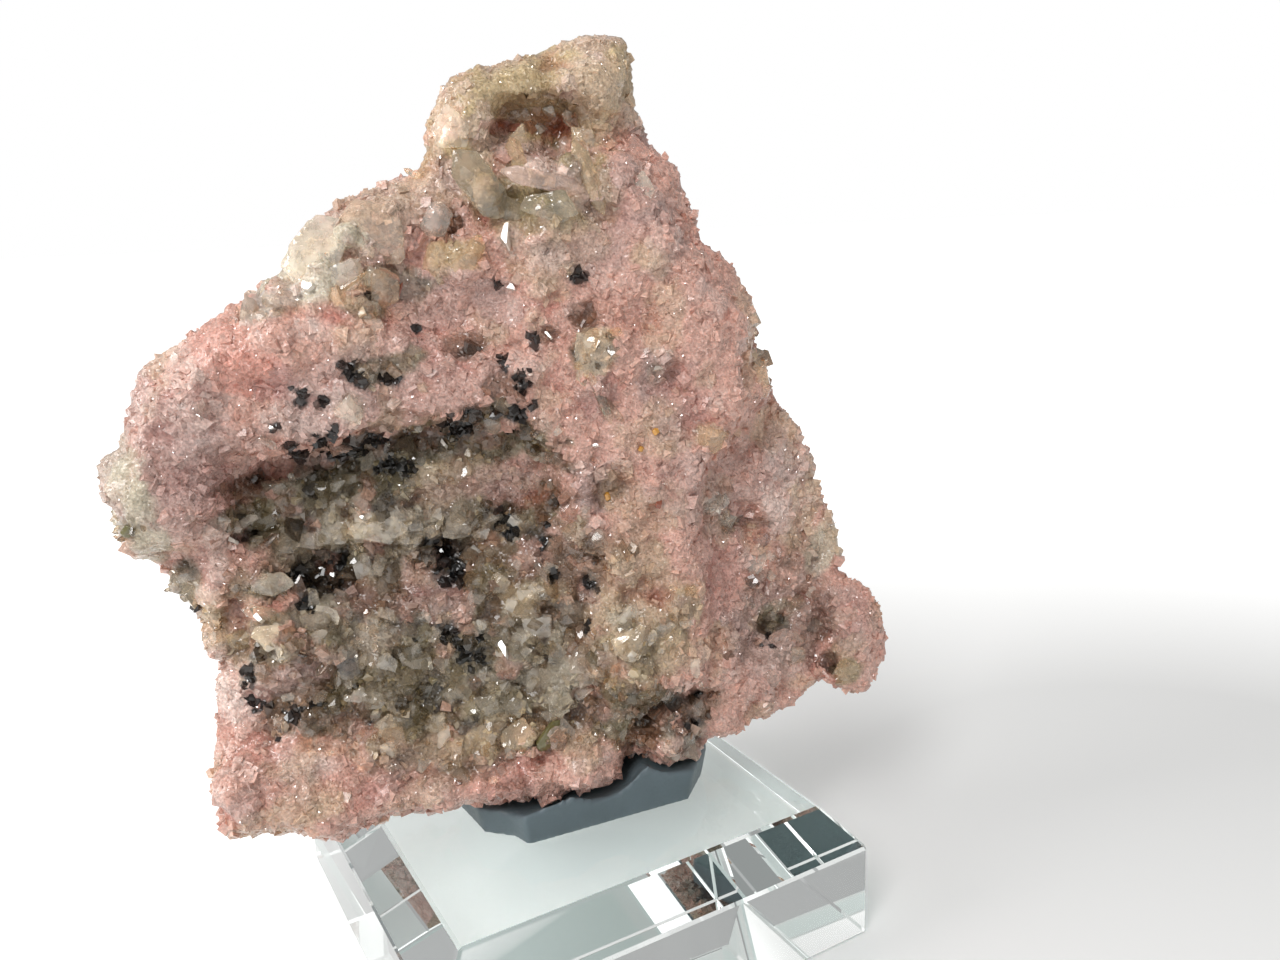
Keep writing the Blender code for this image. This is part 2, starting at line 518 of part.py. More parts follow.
def back_crystals(tree):
    """Quartz crystals grown in and round the hollows of the back."""
    pieces = []
    rng = random.Random(BACK_CRYSTAL_SEED)
    for x, z, half_width, half_height, crystals in BACK_PATCHES:
        for k in range(crystals):
            angle = GOLDEN_ANGLE * k + rng.uniform(-0.4, 0.4)
            reach = math.sqrt((k + 0.5) / crystals)
            side = reach * half_width * math.cos(angle)
            rise = reach * half_height * math.sin(angle)
            spot, normal = on_surface(tree, Vector((x + side, FAR_OUT, z + rise)), Vector((0, -1, 0)))
            if spot is None:
                continue
            lean = Vector([rng.uniform(-0.6, 0.6) for _ in range(3)])
            direction = (Vector((0, 1, 0)) + 0.6 * normal + lean).normalized()
            width = rng.uniform(1.7, 3.2)
            bm = bmesh.new()
            add_crystal(bm, spot, direction, width, width * rng.uniform(0.4, 1.1), rng.uniform(0, 1))
            pieces.append(bm)
    return pieces


def join_meshes(name, pieces, mat):
    """All the crystals in one helper object, ready to be fused to the rock."""
    bm = bmesh.new()
    for piece in pieces:
        bmesh.ops.recalc_face_normals(piece, faces=piece.faces)
        part = bpy.data.meshes.new("piece")
        piece.to_mesh(part)
        piece.free()
        bm.from_mesh(part)
        bpy.data.meshes.remove(part)
    helper = add_object(name, bm, mat)
    helper.hide_render = True
    helper.display_type = "WIRE"
    return helper


def keep_outer_skin(obj):
    """Applies the union and drops the small sealed pockets between crossing crystals."""
    graph = bpy.context.evaluated_depsgraph_get()
    fused = bpy.data.meshes.new_from_object(obj.evaluated_get(graph))
    obj.modifiers.clear()
    obj.data = fused
    bm = bmesh.new()
    bm.from_mesh(fused)
    left = set(bm.faces)
    skins = []
    while left:
        skin = {left.pop()}
        front = list(skin)
        while front:
            for edge in front.pop().edges:
                for face in edge.link_faces:
                    if face in left:
                        left.discard(face)
                        skin.add(face)
                        front.append(face)
        skins.append(skin)
    outer = max(skins, key=len)
    pockets = [face for skin in skins if skin is not outer for face in skin]
    bmesh.ops.delete(bm, geom=pockets, context="FACES")
    bm.to_mesh(fused)
    bm.free()


def make_rock():
    """The specimen: one intergrown solid of rhodochrosite, quartz and sphalerite."""
    pink = material("rhodochrosite", (0.62, 0.33, 0.29), 0.55)
    body = rock_body()
    tree = BVHTree.FromBMesh(body)
    pieces = display_crystals(tree) + back_crystals(tree)
    rock = add_object("rhodochrosite_rock", body, pink)
    fuse = rock.modifiers.new("grown together", "BOOLEAN")
    fuse.operation = "UNION"
    fuse.solver = "EXACT"
    fuse.use_self = True
    fuse.object = join_meshes("crystals", pieces, pink)
    keep_outer_skin(rock)
    return rock


def make_glass():
    """The display block, with a wide bevel round its top and a fine arris on every edge."""
    bm = bmesh.new()
    half = GLASS_SIDE / 2.0
    top_half = half - GLASS_BEVEL_IN
    levels = ((0.0, half), (GLASS_HEIGHT - GLASS_BEVEL_DOWN, half), (GLASS_HEIGHT, top_half))
    turn = Matrix.Rotation(GLASS_TURN, 4, "Z")
    rings = []
    for z, reach in levels:
        corners = ((-reach, -reach), (reach, -reach), (reach, reach), (-reach, reach))
        rings.append([bm.verts.new(turn @ Vector((x, y, z))) for x, y in corners])
    bm.faces.new(list(reversed(rings[0])))
    bm.faces.new(rings[-1])
    for low, high in zip(rings, rings[1:]):
        for k in range(4):
            j = (k + 1) % 4
            bm.faces.new((low[k], low[j], high[j], high[k]))
    glass = add_object("glass_block", bm, material("clear_glass", (0.85, 0.95, 0.92), 0.02, 1.0))
    arris = glass.modifiers.new("arris", "BEVEL")
    arris.width = GLASS_ARRIS * MM
    arris.segments = 1
    arris.limit_method = "ANGLE"
    arris.angle_limit = math.radians(20.0)
    return glass


def underside(tree, x, y, reach):
    """The lowest height of the rock near a point, or the putty's highest where no rock is above."""
    lowest = GLASS_HEIGHT + PUTTY_HIGHEST + SOLID_GAP
    for dx in (-reach, -0.5 * reach, 0.0, 0.5 * reach, reach):
        for dy in (-reach, -0.5 * reach, 0.0, 0.5 * reach, reach):
            start = Vector((x + dx, y + dy, GLASS_HEIGHT)) * MM
            spot, _, _, _ = tree.ray_cast(start, Vector((0, 0, 1)), 0.1)
            if spot:
                lowest = min(lowest, spot.z / MM)
    return lowest


def make_putty(rock):
    """The wad of mineral putty, moulded to the rock's underside and flat on the glass."""
    graph = bpy.context.evaluated_depsgraph_get()
    tree = BVHTree.FromObject(rock, graph)
    bm = bmesh.new()
    side = resample(PUTTY_CORNERS, PUTTY_SIDE_STEP)
    foot = [p.xy for p in side]
    rim = [p * PUTTY_FLARE for p in foot]
    inner = fill_points(rim, PUTTY_GRID, 0.45 * PUTTY_GRID, PUTTY_SEED)
    nominal = [p.z for p in side] + [PUTTY_HIGHEST] * len(inner)
    floor_z = GLASS_HEIGHT + SOLID_GAP
    bottom = [bm.verts.new((p.x, p.y, floor_z)) for p in foot]
    top = []
    for p, height in zip(rim + inner, nominal):
        under = underside(tree, p.x, p.y, 0.85 * PUTTY_GRID) - SOLID_GAP
        top.append(bm.verts.new((p.x, p.y, min(under, GLASS_HEIGHT + height))))
    bm.faces.new(list(reversed(bottom)))
    for a, b, c in triangulate(rim, inner):
        bm.faces.new((top[a], top[b], top[c]))
    for i in range(len(rim)):
        j = (i + 1) % len(rim)
        bm.faces.new((bottom[i], bottom[j], top[j], top[i]))
    bmesh.ops.recalc_face_normals(bm, faces=bm.faces)
    return add_object("putty", bm, material("mineral_putty", (0.21, 0.25, 0.30), 0.6))


clear_scene()
make_glass()
make_putty(make_rock())
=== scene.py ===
# %% [markdown]
# # A rhodochrosite specimen, dressed
#
# The solid model is a stone on a wad of putty on a glass block. This notebook gives it the surface
# of the real thing: thousands of small crystals, grown into each other, in pink, cream, grey and
# black. We start by loading the solid model, because every crystal will be placed on it.

# %% Load the solid model
import itertools
import math

import bmesh
import bpy
import numpy as np
from mathutils import Matrix, Vector
from mathutils.bvhtree import BVHTree


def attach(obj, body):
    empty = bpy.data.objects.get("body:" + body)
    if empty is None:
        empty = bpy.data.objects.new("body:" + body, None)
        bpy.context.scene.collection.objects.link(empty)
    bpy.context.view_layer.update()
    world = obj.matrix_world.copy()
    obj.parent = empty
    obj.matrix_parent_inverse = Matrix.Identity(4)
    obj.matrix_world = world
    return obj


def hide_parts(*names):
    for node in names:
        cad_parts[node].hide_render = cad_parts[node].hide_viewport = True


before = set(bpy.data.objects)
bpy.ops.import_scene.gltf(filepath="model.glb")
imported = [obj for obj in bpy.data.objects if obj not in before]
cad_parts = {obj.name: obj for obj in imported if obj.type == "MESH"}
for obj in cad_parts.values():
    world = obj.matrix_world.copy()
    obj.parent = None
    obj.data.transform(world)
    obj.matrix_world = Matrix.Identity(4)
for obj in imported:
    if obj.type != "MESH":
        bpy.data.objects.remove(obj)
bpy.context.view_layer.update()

MM = 0.001
scene = bpy.context.scene

# %% [markdown]
# ## Camera
#
# The specimen is small, so the camera stands close, a hand's width away, and a little above the
# stone's middle. A close camera makes the near edge of the block look large.

# %% Camera
CAMERA_PLACE = Vector((10.5, -112.2, 81.5)) * MM
CAMERA_DOWN = math.radians(14.74)
CAMERA_ROLL = math.radians(-2.46)
CAMERA_LENS = 29.6


def make_camera():
    """A close camera that looks along +Y and a little down."""
    data = bpy.data.cameras.new("camera")
    data.lens = CAMERA_LENS
    data.sensor_width = 36.0
    data.clip_start = 0.005
    data.clip_end = 20.0
    camera = bpy.data.objects.new("camera", data)
    scene.collection.objects.link(camera)
    tilt = Matrix.Rotation(math.pi / 2 - CAMERA_DOWN, 4, "X")
    roll = Matrix.Rotation(CAMERA_ROLL, 4, "Z")
    camera.matrix_world = Matrix.Translation(CAMERA_PLACE) @ tilt @ roll
    scene.camera = camera


make_camera()
print("camera at", [round(v / MM, 1) for v in CAMERA_PLACE], "mm")

# %% How often light may turn
CLEAR_BOUNCES = 8
MATT_BOUNCES = 3

# in crystals and in the block light turns many times; between matt grains only the first few count
scene.cycles.glossy_bounces = CLEAR_BOUNCES
scene.cycles.transmission_bounces = CLEAR_BOUNCES
scene.cycles.diffuse_bounces = MATT_BOUNCES
print("bounces: clear", CLEAR_BOUNCES, "matt", MATT_BOUNCES)

# %% [markdown]
# ## Studio
#
# A pale floor, a pale room and three soft lights from the left and the front, which leave a faint
# shadow on the right. The floor also glows with painted light, seen by the camera and in reflections
# but lighting nothing: weak near a point right of the stone, where the shadow lies, and stronger
# farther out, so that the floor fades to white.
# The room is bright overhead and dark low down, because glass and crystal need something dark to
# reflect: in an all-white room they vanish.

# %% Floor
FLOOR_SIZE = 6.0
FLOOR_COLOR = (0.84, 0.84, 0.83, 1.0)
FLOOR_GAP = 0.3 * MM
# painted light: the floor glows weakly near this point, right of the stone where the shadow lies, and
# strongly farther out
GLOW_CENTRE = (0.08, 0.0, 0.0)
NEAR, NEAR_GLOW = 0.05, 0.08
FAR, FAR_GLOW = 0.16, 0.75
WHITE = (1.0, 1.0, 1.0, 1.0)


def math_node(tree, operation, first, second):
    """A math node on two values, each either a plain number or an output of another node."""
    node = tree.nodes.new("ShaderNodeMath")
    node.operation = operation
    for socket, value in zip(node.inputs, (first, second)):
        if isinstance(value, float):
            socket.default_value = value
        else:
            tree.links.new(value, socket)
    return node.outputs[0]


def map_range(tree, value, low, high, to_low, to_high):
    """Carries the range from low to high over to another range."""
    node = tree.nodes.new("ShaderNodeMapRange")
    names = ("From Min", "From Max", "To Min", "To Max")
    for name, number in zip(names, (low, high, to_low, to_high)):
        node.inputs[name].default_value = number
    tree.links.new(value, node.inputs["Value"])
    return node.outputs["Result"]


def painted_floor_glow(tree):
    """Painted light of the floor's own: weak near GLOW_CENTRE, stronger farther out, and it doesn't light
    the stone.
    """
    place = tree.nodes.new("ShaderNodeTexCoord")
    distance = tree.nodes.new("ShaderNodeVectorMath")
    distance.operation = "DISTANCE"
    distance.inputs[1].default_value = GLOW_CENTRE
    tree.links.new(place.outputs["Object"], distance.inputs[0])
    glow = map_range(tree, distance.outputs["Value"], NEAR, FAR, NEAR_GLOW, FAR_GLOW)
    path = tree.nodes.new("ShaderNodeLightPath")
    unlit = math_node(tree, "SUBTRACT", 1.0, path.outputs["Is Diffuse Ray"])
    return math_node(tree, "MULTIPLY", glow, unlit)


def make_floor():
    """The table top: a very large pale sheet."""
    bpy.ops.mesh.primitive_grid_add(x_subdivisions=8, y_subdivisions=8, size=FLOOR_SIZE)
    floor = bpy.context.active_object
    floor.name = "floor"
    floor.location.z = -FLOOR_GAP
    mat = bpy.data.materials.new("pale_floor")
    mat.use_nodes = True
    shader = mat.node_tree.nodes["Principled BSDF"]
    shader.inputs["Base Color"].default_value = FLOOR_COLOR
    shader.inputs["Roughness"].default_value = 0.6
    shader.inputs["Specular IOR Level"].default_value = 0.2
    shader.inputs["Emission Color"].default_value = WHITE
    mat.node_tree.links.new(painted_floor_glow(mat.node_tree), shader.inputs["Emission Strength"])
    floor.data.materials.append(mat)


make_floor()
print("floor:", FLOOR_SIZE, "m square")

# %% Room and lights
ROOM_BRIGHT = 0.55
ROOM_DARK = 0.14
TO_BRIGHT = (-0.15, 0.08, 0.98)
FACING_DARK, FACING_BRIGHT = -0.6, 0.9
LAMP = (-130, -320, 330)


def make_room():
    """A room that is brightest overhead, a little to the left, and that the camera sees as white."""
    world = bpy.data.worlds.new("room")
    scene.world = world
    world.use_nodes = True
    nodes, links = world.node_tree.nodes, world.node_tree.links
    direction = nodes.new("ShaderNodeTexCoord")
    facing = nodes.new("ShaderNodeVectorMath")
    facing.operation = "DOT_PRODUCT"
    facing.inputs[1].default_value = TO_BRIGHT
    links.new(direction.outputs["Generated"], facing.inputs[0])
    shade = map_range(world.node_tree, facing.outputs["Value"],
                      FACING_DARK, FACING_BRIGHT, ROOM_DARK, ROOM_BRIGHT)
    path = nodes.new("ShaderNodeLightPath")
    shown = nodes.new("ShaderNodeMix")
    shown.inputs["B"].default_value = 1.0
    links.new(path.outputs["Is Camera Ray"], shown.inputs["Factor"])
    links.new(shade, shown.inputs["A"])
    links.new(shown.outputs["Result"], nodes["Background"].inputs["Strength"])
    nodes["Background"].inputs["Color"].default_value = WHITE


def area_light(name, place, size, power, target=(0.0, 0.0, 50.0)):
    """A soft square light at place, in millimetres, that shines at target."""
    data = bpy.data.lights.new(name, "AREA")
    data.size = size * MM
    data.energy = power
    light = bpy.data.objects.new(name, data)
    scene.collection.objects.link(light)
    light.location = Vector(place) * MM
    aim = Vector(target) * MM - light.location
    light.rotation_euler = aim.to_track_quat("-Z", "Y").to_euler()


make_room()
area_light("window", (-400, -110, 250), 180, 0.85)
area_light("ceiling", (-90, -260, 420), 130, 0.40)
area_light("lamp", LAMP, 110, 0.64)
scene.view_settings.view_transform = "Standard"
print("room: strength", ROOM_DARK, "to", ROOM_BRIGHT, "and three lights")

# %% [markdown]
# ## Soft noise
#
# Stone is uneven at every scale. One helper gives smooth random values at many points at once, and
# a second adds finer copies of it, which is how most natural variation is made.

# %% Noise helpers


def cell_key(cell):
    """A whole number that differs from one cell of a grid to the next without any pattern."""
    return cell[..., 0] * 73856093 ^ cell[..., 1] * 19349663 ^ cell[..., 2] * 83492791


def soft_noise(points, scale, seed):
    """Smooth noise from -1 to 1 at each point, with features about `scale` metres across."""
    place = points / scale + 11.3 * seed
    cell = np.floor(place).astype(np.int64)
    part = place - cell
    ease = part * part * (3.0 - 2.0 * part)
    total = np.zeros(len(points))
    for corner in itertools.product((0, 1), repeat=3):
        mix = cell_key(cell + np.array(corner)) ^ (seed * 2654435)
        mix = (mix ^ (mix >> 13)) * 1274126177
        value = ((mix ^ (mix >> 16)) & 0xFFFF) / 32767.5 - 1.0
        weight = np.where(corner, ease, 1.0 - ease).prod(axis=1)
        total += weight * value
    return total


def rough_noise(points, scale, seed, octaves=3):
    """Soft noise with finer and weaker copies added."""
    total = np.zeros(len(points))
    for k in range(octaves):
        total += soft_noise(points, scale / 2**k, seed + k) / 1.8**k
    return total


def unit(vectors):
    """Each row scaled to a length of one."""
    return vectors / np.linalg.norm(vectors, axis=1)[:, None]


def smoothstep(low, high, value):
    """0 below low, 1 above high and eased between."""
    t = np.clip((value - low) / (high - low), 0.0, 1.0)
    return t * t * (3.0 - 2.0 * t)


probe = np.random.default_rng(1).uniform(-0.05, 0.05, (1000, 3))
print("noise spread:", round(float(soft_noise(probe, 0.004, 1).std()), 2))

# %% [markdown]
# ## Which mineral grows where
#
# The stone is mostly pink rhodochrosite. Quartz, cream or grey-green, grows in its hollows and over
# its upper left side, brown iron stain lies in the deepest spots, and black sphalerite is sprinkled
# through the middle. The map is a list of soft oval patches, painted one over the other: mineral,
# centre (x, z), half width, half height, turn in degrees and how densely it grows. All are in
# millimetres on the display face, as seen from the camera.

# %% Minerals and their colours


def srgb(red, green, blue):
    """A screen colour, 0 to 255, as linear light."""
    share = np.array((red, green, blue)) / 255.0
    return np.where(share > 0.04045, ((share + 0.055) / 1.055) ** 2.4, share / 12.92)


# name: (colour, how much single grains differ in brightness, family of grains)
MINERALS = {
    "pink": (srgb(222, 175, 159), 0.05, "sugar"),
    "pale": (srgb(238, 208, 196), 0.05, "sugar"),
    "salmon": (srgb(222, 158, 141), 0.07, "sugar"),
    "rose": (srgb(206, 158, 148), 0.07, "sugar"),
    "mauve": (srgb(194, 164, 156), 0.07, "sugar"),
    "tan": (srgb(212, 184, 154), 0.07, "sugar"),
    "haze": (srgb(212, 200, 178), 0.05, "mass"),
    "honey": (srgb(204, 180, 140), 0.05, "mass"),
    "moss": (srgb(162, 148, 114), 0.05, "mass"),
    "cream": (srgb(226, 203, 166), 0.07, "quartz"),
    "grey": (srgb(184, 172, 150), 0.09, "quartz"),
    "green": (srgb(158, 146, 114), 0.09, "quartz"),
    "umber": (srgb(142, 116, 88), 0.14, "quartz"),
    "white": (srgb(244, 238, 228), 0.05, "quartz"),
    "brown": (srgb(112, 76, 50), 0.18, "sugar"),
    "rust": (srgb(146, 78, 54), 0.15, "sugar"),
    "dark": (srgb(62, 50, 38), 0.20, "quartz"),
    "black": (srgb(14, 14, 15), 0.30, "black"),
    "olive": (srgb(104, 98, 58), 0.0, "mass"),
    "gold": (srgb(204, 146, 60), 0.0, "mass"),
}
NAMES = list(MINERALS)
print(len(MINERALS), "tones of minerals")

# %% Patches of the upper half
UPPER_PATCHES = (
    # the cream cap, with its stained hollow
    ("honey", 2.5, 91.8, 10.4, 5.4, 14, 1.0),
    ("honey", 9.0, 94.0, 4.4, 4.4, 0, 1.0),
    ("pale", 7.6, 92.8, 3.0, 2.8, 0, 0.35),
    ("tan", 9.8, 94.3, 1.0, 1.2, 0, 0.5),
    ("brown", 2.8, 90.2, 4.2, 1.9, -4, 0.5),
    ("rust", 2.6, 89.2, 3.0, 0.9, 0, 0.4),
    ("brown", 6.5, 89.6, 1.8, 0.8, 0, 0.4),
    ("rust", -1.2, 88.8, 1.4, 0.8, 0, 0.9),
    ("rust", 3.8, 87.8, 1.2, 2.0, -35, 0.85),
    ("mauve", 11.4, 89.0, 0.9, 2.2, 25, 0.8),
    ("salmon", 8.8, 87.5, 1.2, 0.9, 0, 0.6),
    ("tan", 7.8, 88.0, 2.0, 1.2, 0, 0.5),
    # grey-green quartz under the cap
    ("moss", 2.4, 82.8, 7.2, 4.4, 0, 0.85),
    ("honey", -5.4, 85.0, 3.6, 3.6, 30, 0.85),
    ("mauve", 0.3, 86.8, 3.4, 1.1, -12, 0.6),
    ("pale", 2.8, 85.1, 2.9, 0.8, -24, 0.75),
    ("moss", 2.0, 82.0, 3.6, 1.6, 6, 0.7),
    ("honey", 8.3, 83.2, 0.9, 3.4, 8, 0.6),
    ("brown", 7.0, 81.4, 1.5, 1.0, 0, 0.4),
    ("brown", 1.2, 84.0, 2.6, 0.5, -10, 0.45),
    ("tan", 5.0, 77.5, 4.2, 2.6, 0, 0.55),
    ("moss", 1.6, 76.3, 3.4, 2.4, 0, 0.45),
    ("brown", 2.2, 77.6, 1.6, 0.8, 0, 0.4),
    ("honey", 12.0, 76.3, 1.7, 1.5, 0, 0.45),
    ("mauve", 12.0, 80.2, 2.6, 0.7, 20, 0.5),
    ("mauve", -2.6, 72.5, 2.2, 3.2, 10, 0.6),
    ("tan", 1.8, 73.4, 2.6, 1.2, 0, 0.5),
    ("brown", -6.5, 80.5, 1.5, 1.7, -30, 0.85),
    ("brown", -6.0, 84.4, 0.7, 2.0, 20, 0.55),
    ("honey", -6.0, 77.3, 3.2, 1.6, 0, 0.85),
    ("mauve", -7.0, 75.4, 3.0, 1.0, 10, 0.5),
    # the shoulder on the left
    ("tan", -13.2, 80.8, 5.8, 3.0, 22, 0.85),
    ("honey", -11.2, 83.0, 3.4, 1.0, 22, 0.6),
    ("haze", -18.2, 77.6, 5.6, 2.9, 38, 0.95),
    ("haze", -19.0, 77.8, 2.4, 1.2, 30, 0.5),
    ("white", -23.2, 73.8, 3.0, 1.2, 25, 0.65),
    ("salmon", -9.6, 78.0, 1.0, 2.4, 0, 0.65),
    ("grey", -12.0, 75.4, 3.2, 1.6, -15, 0.8),
    ("brown", -11.4, 74.6, 2.0, 1.2, -15, 0.55),
    ("cream", -14.5, 73.0, 2.6, 1.0, -20, 0.7),
    # bright pink and its deep salmon hollows
    ("pale", -31.0, 66.5, 6.5, 4.5, 40, 0.55),
    ("salmon", -27.5, 70.5, 3.0, 2.2, 20, 0.55),
    ("salmon", -25.0, 67.6, 3.4, 2.4, -20, 0.95),
    ("rose", -22.6, 66.6, 1.4, 1.8, 10, 0.85),
    ("salmon", -17.2, 71.7, 1.6, 0.9, 0, 0.8),
    ("pale", -19.4, 71.3, 2.0, 0.9, 0, 0.6),
    ("salmon", -9.4, 68.2, 1.4, 1.0, 0, 0.7),
    ("mauve", -33.0, 58.5, 5.2, 5.6, 10, 0.65),
    ("rose", -30.5, 57.0, 3.0, 3.0, 0, 0.5),
    ("haze", -37.0, 58.5, 2.0, 6.4, 5, 1.0),
    ("green", -37.3, 54.2, 1.2, 1.1, -40, 0.5),
    ("haze", -35.6, 52.3, 1.8, 1.6, -30, 0.9),
    # dark grains along the pink ledge
    ("mauve", -12.0, 65.0, 10.0, 4.0, 8, 0.45),
    ("grey", -13.8, 67.2, 3.4, 1.3, 12, 0.8),
    ("brown", -5.8, 68.8, 2.1, 1.7, 10, 0.7),
    ("dark", -5.6, 68.0, 1.3, 0.8, 10, 0.5),
    ("cream", -17.2, 63.4, 1.6, 1.8, 0, 0.9),
    ("pale", -19.8, 63.4, 4.4, 2.6, 0, 0.8),
    ("rose", -23.8, 66.4, 1.6, 1.4, 20, 0.7),
    ("rose", -27.6, 58.6, 3.4, 1.2, 10, 0.6),
    ("brown", -2.2, 64.3, 2.6, 1.6, 8, 0.7),
    ("dark", -3.6, 62.2, 3.6, 1.2, 8, 0.7),
    ("dark", -9.5, 60.2, 5.0, 1.4, 8, 0.6),
    # proud pink slab, right of the middle
    ("brown", 5.8, 70.7, 1.5, 1.6, 0, 0.8),
    ("brown", 2.0, 69.2, 1.2, 0.9, 0, 0.7),
    ("cream", 6.5, 67.0, 2.2, 2.6, -20, 0.75),
    ("mauve", 6.8, 62.6, 2.2, 2.4, -35, 0.6),
    ("mauve", 12.6, 63.4, 2.2, 3.2, 0, 0.8),
    ("grey", 12.6, 64.4, 1.0, 1.4, 0, 0.4),
    ("brown", 14.3, 64.5, 0.7, 2.0, 0, 0.5),
    ("rose", 18.0, 73.4, 1.0, 0.9, 0, 0.5),
    ("cream", 23.8, 66.0, 0.8, 4.0, 4, 0.6),
    ("tan", 13.0, 58.0, 5.0, 2.0, 0, 0.35),
    ("rose", 15.4, 61.8, 3.4, 3.6, 0, 0.45),
)
print(len(UPPER_PATCHES), "patches in the upper half")

